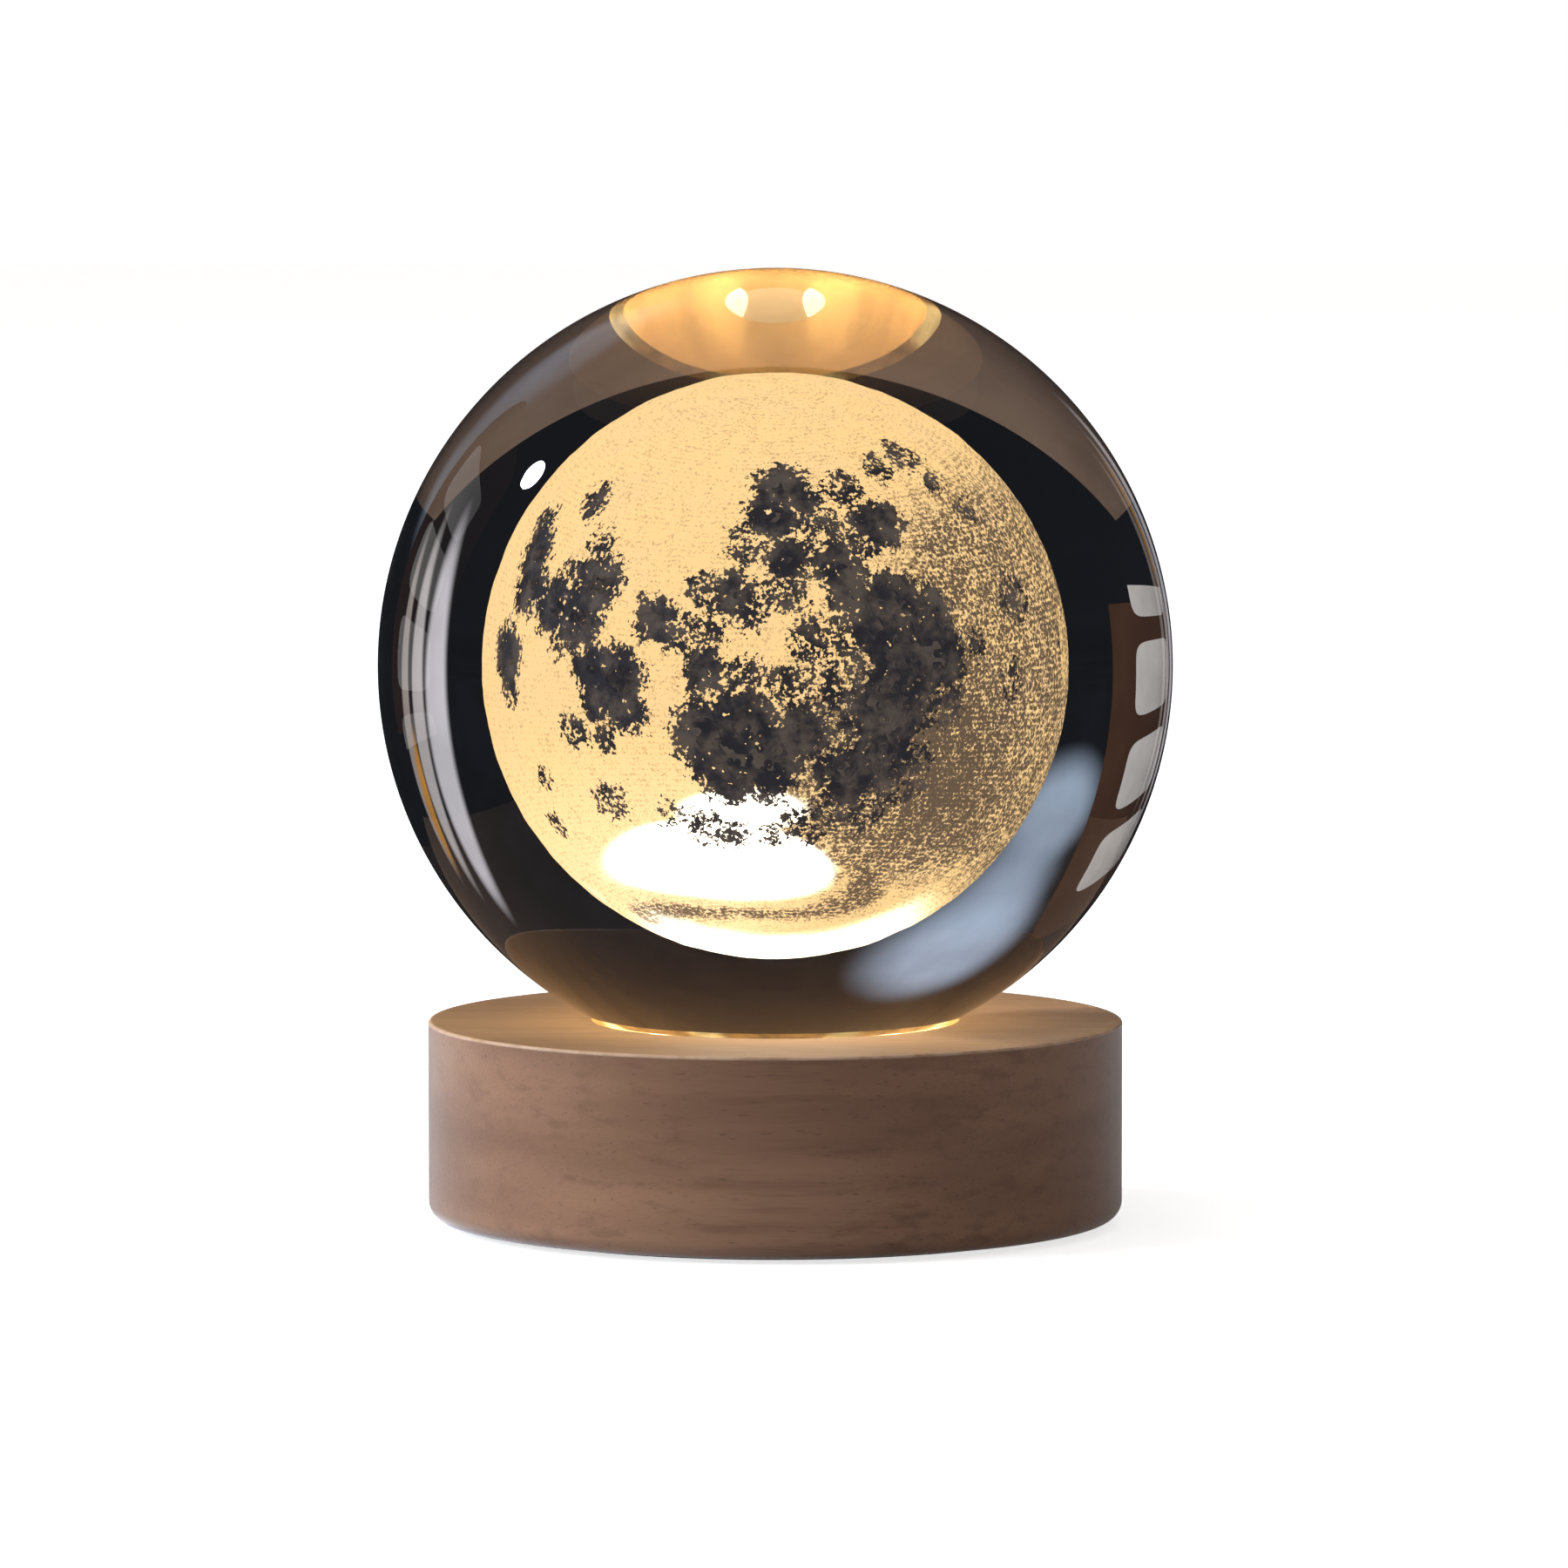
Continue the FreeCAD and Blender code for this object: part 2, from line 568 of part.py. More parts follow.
# ---------------------------------------------------------------- cover, pad and screws
def bottom_cover():
    """Plastic disc with two hollow posts and three countersunk holes."""
    cover = cylinder(COVER_RECESS_RADIUS - COVER_CLEARANCE, PAD_THICKNESS, COVER_TOP)
    holes = []
    hole_bottom = CONTROL_TOP - CONTROL_SCREW_LENGTH
    for x, y in control_screw_places():
        cover = cover.fuse(cylinder(POST_RADIUS, PAD_THICKNESS, CONTROL_BOTTOM, x, y))
        holes.append(cylinder(BOARD_SCREW_RADIUS, hole_bottom, CONTROL_BOTTOM, x, y))
    for x, y in cover_screw_places():
        holes.append(countersunk_screw(x, y, SCREW_CLEARANCE))
    return cover.cut(holes).removeSplitter()


def foot_pad():
    """Round foam pad that the lamp stands on, stuck over the cover's screws."""
    return cylinder(COVER_RECESS_RADIUS - COVER_CLEARANCE, 0, PAD_THICKNESS)


def countersunk_screw(x, y, clearance=0.0):
    """Countersunk wood screw from below, or the hole for it with a clearance."""
    base = FreeCAD.Vector(x, y, PAD_THICKNESS)
    shank = COVER_SCREW_RADIUS + clearance
    head = Part.makeCone(COVER_SCREW_HEAD_RADIUS + clearance, shank, COVER_SCREW_HEAD_HEIGHT, base, UP)
    neck = PAD_THICKNESS + COVER_SCREW_HEAD_HEIGHT
    return head.fuse(cylinder(shank, neck, PAD_THICKNESS + COVER_SCREW_LENGTH, x, y))


def pan_head_screw(x, y, seat, head_side, length):
    """Pan-head screw seated at a height, its head above it (1) or below it (-1)."""
    seat_point = FreeCAD.Vector(x, y, seat)
    head = Part.makeCylinder(BOARD_SCREW_HEAD_RADIUS, BOARD_SCREW_HEAD_HEIGHT, seat_point, UP * head_side)
    shank = Part.makeCylinder(BOARD_SCREW_RADIUS, length, seat_point, UP * -head_side)
    return head.fuse(shank)


def cover_screws():
    """Countersunk screws that hold the cover to the wood."""
    return Part.makeCompound([countersunk_screw(x, y) for x, y in cover_screw_places()])


def led_board_screws():
    """Pan-head screws from below, through the LED board into the wood."""
    places = board_screw_places()
    screws = [pan_head_screw(x, y, LED_BOARD_BOTTOM, -1, BOARD_SCREW_LENGTH) for x, y in places]
    return Part.makeCompound(screws)


def control_board_screws():
    """Pan-head screws from above, through the control board into the posts."""
    places = control_screw_places()
    screws = [pan_head_screw(x, y, CONTROL_TOP, 1, CONTROL_SCREW_LENGTH) for x, y in places]
    return Part.makeCompound(screws)


# ---------------------------------------------------------------- assembly
moon = engraved_moon()
export(moon, "engraved_moon")
export(crystal_ball(moon), "crystal_ball")
export(wooden_base(), "wooden_base")
export(led_board(), "led_board")
for number in range(LED_COUNT):
    export(led((number + 0.5) * 360 / LED_COUNT), "led_" + str(number + 1))
for number in range(RESISTOR_COUNT):
    export(resistor((number + 0.5) * 360 / RESISTOR_COUNT), "resistor_" + str(number + 1))
export(led_board_screws(), "led_board_screws")
export(control_board(), "control_board")
export(control_chip(), "control_chip")
export(control_board_screws(), "control_board_screws")
export(socket_shell(), "usb_socket_shell")
export(socket_tongue(), "usb_socket_tongue")
export(switch_body(), "switch_body")
export(switch_plunger(), "switch_plunger")
export(button_cap(), "button_cap")
export(wire(-WIRE_SPREAD / 2), "lead_black")
export(wire(WIRE_SPREAD / 2), "lead_red")
export(bottom_cover(), "bottom_cover")
export(cover_screws(), "cover_screws")
export(foot_pad(), "foot_pad")
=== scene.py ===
"""Moon lamp: the looks of the crystal ball, its engraved moon and the lit wooden base.

Metres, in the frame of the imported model. Sizes are named in millimetres and
multiplied by MM where they are used.
"""

import math

import bmesh
import bpy
import numpy as np
from mathutils import Matrix, Vector, noise


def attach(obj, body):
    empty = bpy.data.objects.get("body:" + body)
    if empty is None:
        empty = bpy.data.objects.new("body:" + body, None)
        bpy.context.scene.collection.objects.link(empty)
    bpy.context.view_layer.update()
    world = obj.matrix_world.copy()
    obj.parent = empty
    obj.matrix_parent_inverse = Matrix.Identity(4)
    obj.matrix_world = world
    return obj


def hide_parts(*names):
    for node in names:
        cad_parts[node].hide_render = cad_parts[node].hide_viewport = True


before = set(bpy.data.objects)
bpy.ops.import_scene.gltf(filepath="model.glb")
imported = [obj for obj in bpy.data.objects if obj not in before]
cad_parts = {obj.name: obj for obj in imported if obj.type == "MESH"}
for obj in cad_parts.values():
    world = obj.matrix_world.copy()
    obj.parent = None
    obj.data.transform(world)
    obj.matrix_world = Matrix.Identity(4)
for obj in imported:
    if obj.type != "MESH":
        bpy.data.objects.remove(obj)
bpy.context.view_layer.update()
scene = bpy.context.scene
MM = 0.001

# ---------------------------------------------------------------- sizes, millimetres
BALL_RADIUS = 39.98
BALL_CENTRE_Z = 56.2208
MOON_RADIUS = 19.5
MOON_RELIEF = 0.06      # that the engraved dots stand from the shell's round
MOON_HOLLOW = -0.12
ENGRAVING_DEPTH = 0.5
DOT_ROW_PITCH = 0.45
MOON_TILT = (174.57, -24.32, -110.02)   # degrees about X, Y and Z
REAL_MOON_RADIUS_KM = 1737.4
NOISE_SEED = 7          # noise_vector would be seeded by the clock

BASE_RADIUS = 35.0
WOOD_BOTTOM = 0.5
WOOD_TOP = 20.5
TOP_EDGE_ROUND = 0.3
BOTTOM_EDGE_ROUND = 1.8
SEAT_RADIUS = 40.25     # of the hollow that the ball lies in
SEAT_RINGS = (17.65, 18.1, 18.55)
SEAT_OUTER = 18.7
TOP_RINGS = (20.0, 34.0)
SPILL_RADIUS = 31       # how far the LEDs' light reaches over the top
WELL_RADIUS = 17.2
CHAMBER_RADIUS = 21.8
RECESS_RADIUS = 31.0
COVER_TOP = 3.5
BOARD_TOP = 14.82
POCKET_HALF_WIDTH = 13.5
POCKET_BACK = 29.5
POCKET_TOP = 13.4
PORT_X = -6.0
PORT_Z = 8.73
PORT_WIDTH = 13.0
PORT_HEIGHT = 7.6
BUTTON_X = 8.0
BUTTON_Z = 9.4
BUTTON_HOLE_RADIUS = 3.2
BUTTON_RADIUS = 3.0
BUTTON_EDGE_ROUND = 0.5
BUTTON_FLANGE_RADIUS = 3.6
BUTTON_FLANGE_FRONT = 28.4
BUTTON_FLANGE_BACK = 29.4
BUTTON_FACE = 35.6
BUTTON_DISH = [(1.9, 0.0), (1.7, 0.05), (1.2, 0.22), (0.6, 0.3), (0.0, 0.32)]

LED_COUNT = 8
LED_RING_RADIUS = 13.0
LED_LENGTH = 3.5
LED_WIDTH = 2.8
LED_HEIGHT = 0.8
LED_CORNER = 0.18
LED_LENS_MARGIN = 0.45
LED_LENS_DEPTH = 0.15
INNER_TRACK_RADIUS = 9.0
CONTACT_HALF_PITCH = 0.35

PAD_RADIUS = 30.8
PAD_THICKNESS = 1.5
PAD_EDGE_ROUND = 0.5

# ---------------------------------------------------------------- colours
SIDE_PALE = (0.252, 0.127, 0.069)
SIDE_BROWN = (0.144, 0.065, 0.034)
# The top's beech is the side's beech with painted light: lighter and yellower, as lit by the LEDs'
# warm light.
TOP_PALE_WARM_LIT = (0.330, 0.184, 0.076)
TOP_BROWN_WARM_LIT = (0.207, 0.106, 0.041)
WOOD_DARK = (0.070, 0.031, 0.017)
WOOD_WORN_AND_HIGHLIGHT = (0.55, 0.38, 0.27)
TENT_DARK = (0.010, 0.011, 0.014)
TABLE_BROWN = (0.17, 0.115, 0.085)

# ---------------------------------------------------------------- the LEDs' light, painted as glow on wood, board and moon
TOP_SPILL = 0.11        # at the seat's edge, none at SPILL_RADIUS
SEAT_GLOW = 2.6         # half way between two LEDs
SEAT_GLINT = 4.0        # added in line with an LED
WALL_GLOW = 5.8
WALL_GLINT = 4.5
BOARD_GLOW = 3.0
BOARD_HALO = 11.0       # added at an LED
MOON_GLOW = 1.08

# ---------------------------------------------------------------- camera
PHOTO_SIDE = 1800
FOCAL_PIXELS = 11440
CAMERA_DISTANCE = 1.0
CAMERA_HEIGHT = 0.1286
CAMERA_PITCH = math.radians(4.82)
CAMERA_YAW = math.atan(10 / FOCAL_PIXELS)
LIGHT_BOUNCES = 24

camera = bpy.data.objects.new("camera", bpy.data.cameras.new("camera"))
scene.collection.objects.link(camera)
camera.data.sensor_width = 36
camera.data.lens = FOCAL_PIXELS / PHOTO_SIDE * camera.data.sensor_width
camera.data.clip_start = 0.01
camera.location = (0, -CAMERA_DISTANCE, CAMERA_HEIGHT)
ahead = Vector((
    math.sin(CAMERA_YAW),
    math.cos(CAMERA_YAW) * math.cos(CAMERA_PITCH),
    -math.sin(CAMERA_PITCH),
))
camera.rotation_mode = "QUATERNION"
camera.rotation_quaternion = ahead.to_track_quat("-Z", "Y")
scene.camera = camera
scene.view_settings.view_transform = "Standard"
scene.cycles.max_bounces = LIGHT_BOUNCES
scene.cycles.transmission_bounces = LIGHT_BOUNCES
scene.cycles.glossy_bounces = LIGHT_BOUNCES


# ---------------------------------------------------------------- materials: nodes
class Finish:
    """A new material, with short ways to add nodes to it."""

    def __init__(self, name):
        self.material = bpy.data.materials.new(name)
        self.material.use_nodes = True
        self.tree = self.material.node_tree
        self.surface = self.tree.nodes["Principled BSDF"]
        self.output = self.tree.nodes["Material Output"]
        self.place = self.tree.nodes.new("ShaderNodeTexCoord").outputs["Object"]

    def link(self, source, socket):
        self.tree.links.new(source, socket)

    def feed(self, value, socket):
        """Links a node's output to a socket, or sets a plain value on it."""
        if isinstance(value, bpy.types.NodeSocket):
            self.link(value, socket)
        else:
            socket.default_value = value

    def set(self, **values):
        """Plain values on the surface's own sockets, named with _ for a space."""
        for name, value in values.items():
            self.surface.inputs[name.replace("_", " ")].default_value = value

    def stretched(self, scale, turn=0.0):
        """The object's own coordinates, scaled per axis and turned about Z."""
        mapping = self.tree.nodes.new("ShaderNodeMapping")
        mapping.inputs["Scale"].default_value = scale
        mapping.inputs["Rotation"].default_value = (0, 0, turn)
        self.link(self.place, mapping.inputs["Vector"])
        return mapping.outputs["Vector"]

    def noise(self, scale, detail=3.0, roughness=0.55, vector=None, distortion=0.0):
        node = self.tree.nodes.new("ShaderNodeTexNoise")
        node.inputs["Scale"].default_value = scale
        node.inputs["Detail"].default_value = detail
        node.inputs["Roughness"].default_value = roughness
        node.inputs["Distortion"].default_value = distortion
        self.link(vector or self.place, node.inputs["Vector"])
        return node.outputs["Fac"]

    def grain(self, size_mm, detail=3.0, roughness=0.55):
        """Noise whose largest clouds are size_mm wide."""
        return self.noise(1 / (size_mm * MM), detail, roughness)

    def strands(self, scale, turn, detail=4, roughness=0.55, distortion=0.0):
        """Noise drawn out along the object's axes."""
        return self.noise(1.0, detail, roughness, self.stretched(scale, turn), distortion)

    def cells(self, scale, vector=None, feature="F1"):
        node = self.tree.nodes.new("ShaderNodeTexVoronoi")
        node.feature = feature
        node.inputs["Scale"].default_value = scale
        self.link(vector or self.place, node.inputs["Vector"])
        return node.outputs["Distance"]

    def math(self, operation, first, second=0.0, third=0.0):
        node = self.tree.nodes.new("ShaderNodeMath")
        node.operation = operation
        for value, socket in zip((first, second, third), node.inputs):
            self.feed(value, socket)
        return node.outputs[0]

    def plus(self, first, second):
        return self.math("ADD", first, second)

    def minus(self, first, second):
        return self.math("SUBTRACT", first, second)

    def times(self, first, second):
        return self.math("MULTIPLY", first, second)

    def length(self, first, second):
        squares = self.plus(self.times(first, first), self.times(second, second))
        return self.math("SQRT", squares)

    def span(self, value, low, high, to_low=0.0, to_high=1.0):
        """value from low..high to to_low..to_high, smooth and held at both ends."""
        node = self.tree.nodes.new("ShaderNodeMapRange")
        node.interpolation_type = "SMOOTHSTEP"
        self.feed(value, node.inputs["Value"])
        self.feed(low, node.inputs["From Min"])
        self.feed(high, node.inputs["From Max"])
        self.feed(to_low, node.inputs["To Min"])
        self.feed(to_high, node.inputs["To Max"])
        return node.outputs["Result"]

    def mix(self, share, first, second):
        """A colour from first to second as share goes from 0 to 1."""
        node = self.tree.nodes.new("ShaderNodeMix")
        node.data_type = "RGBA"
        self.feed(share, node.inputs[0])
        for colour, socket in ((first, node.inputs[6]), (second, node.inputs[7])):
            self.feed(colour if isinstance(colour, bpy.types.NodeSocket) else (*colour, 1), socket)
        return node.outputs[2]

    def parts(self, vector=None):
        node = self.tree.nodes.new("ShaderNodeSeparateXYZ")
        self.link(vector or self.place, node.inputs[0])
        return node.outputs

    def from_axis(self):
        """Distance from the lamp's middle line, and the height."""
        x, y, z = self.parts()
        return self.length(x, y), z

    def attribute(self, name):
        node = self.tree.nodes.new("ShaderNodeAttribute")
        node.attribute_name = name
        return node.outputs["Fac"]

    def near_leds(self):
        """1 in line with an LED of the ring, -1 half way to the next."""
        x, y, _ = self.parts()
        turn = self.minus(self.math("ARCTAN2", y, x), math.pi / LED_COUNT)
        return self.math("COSINE", self.times(turn, LED_COUNT))

    def once_reflected(self, direct, reflected):
        """A factor for the LEDs' light: one value seen directly, one in reflections.

        The ball's inside reflects a small share, so what is bright enough there
        would hide the LED board from a direct look.
        """
        path = self.tree.nodes.new("ShaderNodeLightPath")
        share = self.math("MINIMUM", path.outputs["Glossy Depth"], 1.0)
        return self.math("MULTIPLY_ADD", share, reflected - direct, direct)

    def glow(self, colour, strength):
        self.feed(colour, self.surface.inputs["Emission Color"])
        self.feed(strength, self.surface.inputs["Emission Strength"])
        self.material.cycles.emission_sampling = "NONE"

    def clear_where(self, share, shader):
        """Puts shader on the surface, and lets light straight through where share is 1."""
        clear = self.tree.nodes.new("ShaderNodeBsdfTransparent")
        blend = self.tree.nodes.new("ShaderNodeMixShader")
        self.link(share, blend.inputs[0])
        self.link(shader, blend.inputs[1])
        self.link(clear.outputs[0], blend.inputs[2])
        self.link(blend.outputs[0], self.output.inputs["Surface"])

    def bump(self, height, depth_mm, strength=0.6):
        node = self.tree.nodes.new("ShaderNodeBump")
        node.inputs["Strength"].default_value = strength
        node.inputs["Distance"].default_value = depth_mm * MM
        self.link(height, node.inputs["Height"])
        self.link(node.outputs["Normal"], self.surface.inputs["Normal"])

    def colour(self, value):
        self.feed(value, self.surface.inputs["Base Color"])

    def roughness(self, value):
        self.feed(value, self.surface.inputs["Roughness"])


# ---------------------------------------------------------------- materials: finishes
def dulled(colour, share):
    """colour, darkened to a share of itself."""
    return tuple(channel * share for channel in colour)


def plastic(name, colour, roughness, grain_mm=0.35, depth_mm=0.02):
    """Moulded plastic: fine spark-eroded grain, cloudy tone, scuffed gloss."""
    finish = Finish(name)
    cloud = finish.grain(9, detail=4)
    grain = finish.grain(grain_mm, detail=2)
    scuffs = finish.strands((900, 120, 500), 0.6)
    tone = finish.mix(finish.span(cloud, 0.3, 0.7), dulled(colour, 0.82), colour)
    worn = tuple(min(1.0, channel * 1.15 + 0.02) for channel in colour)
    finish.colour(finish.mix(finish.span(scuffs, 0.58, 0.75, 0.0, 0.5), tone, worn))
    finish.roughness(finish.span(scuffs, 0.35, 0.7, roughness - 0.08, roughness + 0.1))
    finish.bump(grain, depth_mm)
    return finish


def metal(name, colour, roughness):
    """Plated metal: drawn lines, slightly clouded plating."""
    finish = Finish(name)
    finish.set(Metallic=1.0)
    lines = finish.strands((2500, 300, 300), 0.3)
    cloud = finish.grain(4)
    finish.colour(finish.mix(finish.span(cloud, 0.3, 0.72), dulled(colour, 0.72), colour))
    finish.roughness(finish.span(lines, 0.3, 0.7, roughness - 0.07, roughness + 0.12))
    finish.bump(lines, 0.01, 0.4)
    return finish


def beech(name, sheen, gloss, pale, brown):
    """Beech with level fibres near X: streaks, pores, ray flecks, a top edge paler from wear and a
    painted highlight, and painted shade at the foot.
    """
    finish = Finish(name)
    finish.set(Specular_IOR_Level=gloss)
    finish.set(Sheen_Weight=sheen, Sheen_Roughness=0.38, Sheen_Tint=(0.93, 0.95, 1.0, 1))
    turn = 0.22
    bands = finish.strands((7, 26, 120), turn, 3, 0.5, 0.2)
    streaks = finish.strands((34, 420, 700), turn, 6, 0.65)
    fibres = finish.strands((150, 3200, 4200), turn, 4, 0.7)
    flecks = finish.cells(1.0, finish.stretched((210, 1500, 1900), turn))
    tone = finish.mix(finish.span(bands, 0.28, 0.68, 0.1, 1.0), brown, pale)
    tone = finish.mix(finish.span(streaks, 0.48, 0.70, 0.0, 0.7), tone, brown)
    tone = finish.mix(finish.span(fibres, 0.56, 0.78, 0.0, 0.5), tone, WOOD_DARK)
    tone = finish.mix(finish.span(flecks, 0.05, 0.2, 0.55, 0.0), tone, WOOD_DARK)
    radius, height = finish.from_axis()
    near_rim = finish.span(radius, (BASE_RADIUS - 0.45) * MM, (BASE_RADIUS - 0.2) * MM)
    near_top = finish.span(height, (WOOD_TOP - 0.4) * MM, (WOOD_TOP - 0.2) * MM)
    foot_painted_shade = finish.span(height, (WOOD_BOTTOM + 0.3) * MM, (WOOD_BOTTOM + 2.2) * MM, 1.0, 0.0)
    patchy = finish.span(finish.grain(2.6), 0.3, 0.6, 0.45, 1.0)
    # Paler along the top edge: partly wear, partly a painted highlight on the rounded arris.
    worn = finish.times(finish.times(near_rim, near_top), patchy)
    tone = finish.mix(finish.times(worn, 0.6), tone, WOOD_WORN_AND_HIGHLIGHT)
    # Darker towards the foot: painted shade next to the floor.
    tone = finish.mix(finish.times(foot_painted_shade, 0.35), tone, WOOD_DARK)
    finish.colour(tone)
    finish.roughness(finish.span(fibres, 0.35, 0.7, 0.40, 0.58))
    finish.bump(finish.plus(finish.times(streaks, 0.5), fibres), 0.07, 0.5)
    return finish


def lit_top():
    """The base's top, with the LEDs' light spilt on it round the ball's foot as a painted glow."""
    finish = beech("beech_top", 0.05, 0.12, TOP_PALE_WARM_LIT, TOP_BROWN_WARM_LIT)
    radius, _ = finish.from_axis()
    spill = finish.span(radius, SEAT_OUTER * MM, SPILL_RADIUS * MM, TOP_SPILL, 0.0)
    finish.glow((1.0, 0.50, 0.10, 1), spill)
    return finish


def lit_seat():
    """The beech under the ball's edge, where the LEDs' light leaks out in glints, painted as a
    glow.
    """
    finish = beech("beech_seat", 0.0, 0.1, TOP_PALE_WARM_LIT, TOP_BROWN_WARM_LIT)
    glint = finish.span(finish.near_leds(), 0.35, 1.0)
    uneven = finish.span(finish.grain(2.2), 0.3, 0.7, 0.5, 1.3)
    strength = finish.times(finish.math("MULTIPLY_ADD", glint, SEAT_GLINT, SEAT_GLOW), uneven)
    strength = finish.times(strength, finish.once_reflected(direct=0.4, reflected=0.65))
    finish.glow(finish.mix(glint, (1.0, 0.46, 0.09), (1.0, 0.68, 0.24)), strength)
    return finish


def lit_wall():
    """The well's beech wall, flooded by the LEDs at its foot: the light is painted as a glow."""
    finish = beech("beech_wall", 0.0, 0.1, TOP_PALE_WARM_LIT, TOP_BROWN_WARM_LIT)
    low = finish.span(finish.parts()["Z"], BOARD_TOP * MM, WOOD_TOP * MM, 1.0, 0.0)
    beside = finish.times(finish.span(finish.near_leds(), -0.4, 1.0), low)
    uneven = finish.span(finish.grain(4.0), 0.3, 0.7, 0.85, 1.12)
    strength = finish.times(finish.math("MULTIPLY_ADD", beside, WALL_GLINT, WALL_GLOW), uneven)
    strength = finish.times(strength, finish.once_reflected(direct=0.09, reflected=1.0))
    finish.glow(finish.mix(low, (1.0, 0.48, 0.12), (1.0, 0.54, 0.14)), strength)
    return finish


def clear_crystal():
    """Polished optical glass with the faintest polishing marks."""
    finish = Finish("clear_crystal")
    finish.set(Transmission_Weight=1.0, IOR=1.517, Base_Color=(1, 1, 1, 1))
    marks = finish.strands((3000, 120, 900), 0.7, 5)
    finish.roughness(finish.span(marks, 0.55, 0.8, 0.0, 0.012))
    return finish


def engraving():
    """Laser dots whose glow in the lamp's light is painted as emission, broken up along the dark
    plains.
    """
    finish = Finish("engraving")
    glow = finish.attribute("glow")
    shade = finish.attribute("shade")
    edge = finish.attribute("plain_mm")
    for size_mm, detail, roughness in ((1.0, 5, 0.72), (0.36, 2, 0.6)):
        speckle = finish.minus(finish.grain(size_mm, detail, roughness), 0.5)
        edge = finish.plus(edge, finish.times(speckle, 3.4))

    fine = finish.grain(0.22, 3, 0.75)
    coarse = finish.grain(1.1, 3, 0.6)
    height = finish.minus(finish.parts()["Z"], BALL_CENTRE_Z * MM)
    polar = finish.math("ARCCOSINE", finish.math("DIVIDE", height, MOON_RADIUS * MM))
    rows = finish.math("SINE", finish.times(polar, 2 * math.pi * MOON_RADIUS / DOT_ROW_PITCH))
    stipple = finish.plus(finish.times(fine, 0.75), finish.times(coarse, 0.25))
    stipple = finish.plus(stipple, finish.times(rows, 0.026))
    threshold = finish.minus(0.60, finish.times(shade, 0.115))
    dim = finish.span(finish.minus(stipple, threshold), -0.02, 0.03)
    dim = finish.times(dim, finish.span(shade, 0.1, 0.7, 0.45, 0.95))
    pits = finish.span(finish.cells(1 / (0.42 * MM)), 0.34, 0.56, 1.0, 0.0)
    pitted = finish.span(finish.plus(shade, finish.times(coarse, 0.5)), 0.75, 1.15, 0.0, 0.92)
    dim = finish.math("MAXIMUM", dim, finish.times(pits, pitted))

    amber = (1.0, 0.665, 0.285)
    cream = (1.0, 0.93, 0.74)
    lit = finish.mix(finish.span(glow, 1.0, 2.2), amber, cream)
    cloud = finish.grain(5, detail=4)
    lit = finish.mix(finish.span(cloud, 0.35, 0.7, 0.0, 0.35), lit, (0.93, 0.64, 0.34))
    # Painted shade: the stipple turns darker where the shade attribute is high.
    dark = finish.mix(finish.span(shade, 0.3, 0.9), (0.42, 0.25, 0.11), (0.075, 0.052, 0.042))
    lit = finish.mix(finish.times(dim, finish.span(glow, 1.3, 2.6, 1.0, 0.15)), lit, dark)
    finish.colour((0.03, 0.022, 0.015, 1))
    finish.set(Roughness=0.9, Specular_IOR_Level=0.0)
    finish.glow(lit, finish.times(glow, MOON_GLOW))
    finish.clear_where(finish.span(edge, 0.02, 0.12), finish.surface.outputs[0])
    return finish


def engraving_inside():
    """The shell's inner side: nearly black, with a faint painted glow in smoky brown clouds."""
    finish = Finish("engraving_inside")
    cloud = finish.grain(2.6, 5, 0.65)
    finish.colour((0.012, 0.011, 0.012, 1))
    finish.set(Roughness=0.8, Specular_IOR_Level=0.0)
    faint_glow_clouds = finish.span(cloud, 0.40, 0.66)
    finish.glow(finish.mix(faint_glow_clouds, (0.030, 0.029, 0.036), (0.135, 0.108, 0.090)), 0.7)
    return finish


def led_case():
    """White plastic, lit through by the LED in it: the light is painted as a glow."""
    finish = plastic("led_case", (0.78, 0.77, 0.73), 0.4, 0.15, 0.01)
    finish.glow((1.0, 0.84, 0.46, 1), finish.once_reflected(direct=0.06, reflected=26.0))
    return finish


def led_phosphor():
    """Yellow phosphor in clear resin, which gives most of the light."""
    finish = Finish("led_phosphor")
    speckle = finish.span(finish.grain(0.12, detail=2), 0.35, 0.65)
    finish.colour((0.85, 0.6, 0.2, 1))
    finish.glow(
        finish.mix(speckle, (1.0, 0.70, 0.34), (1.0, 0.77, 0.40)),
        finish.once_reflected(direct=1.5, reflected=60.0),
    )
    return finish


def circuit_board(name, mask, track, cells_per_metre):
    """Solder mask over tracks: tracks read as slightly raised and lighter bands."""
    finish = Finish(name)
    lanes = finish.cells(cells_per_metre, feature="DISTANCE_TO_EDGE")
    band = finish.span(lanes, 0.05, 0.09, 1.0, 0.0)
    weave = finish.grain(0.5)
    tone = finish.mix(finish.times(band, 0.6), mask, track)
    tone = finish.mix(finish.span(weave, 0.35, 0.7, 0.0, 0.25), tone, dulled(mask, 0.7))
    finish.colour(tone)
    finish.roughness(finish.span(weave, 0.3, 0.7, 0.28, 0.42))
    finish.bump(band, 0.05, 0.5)
    return finish


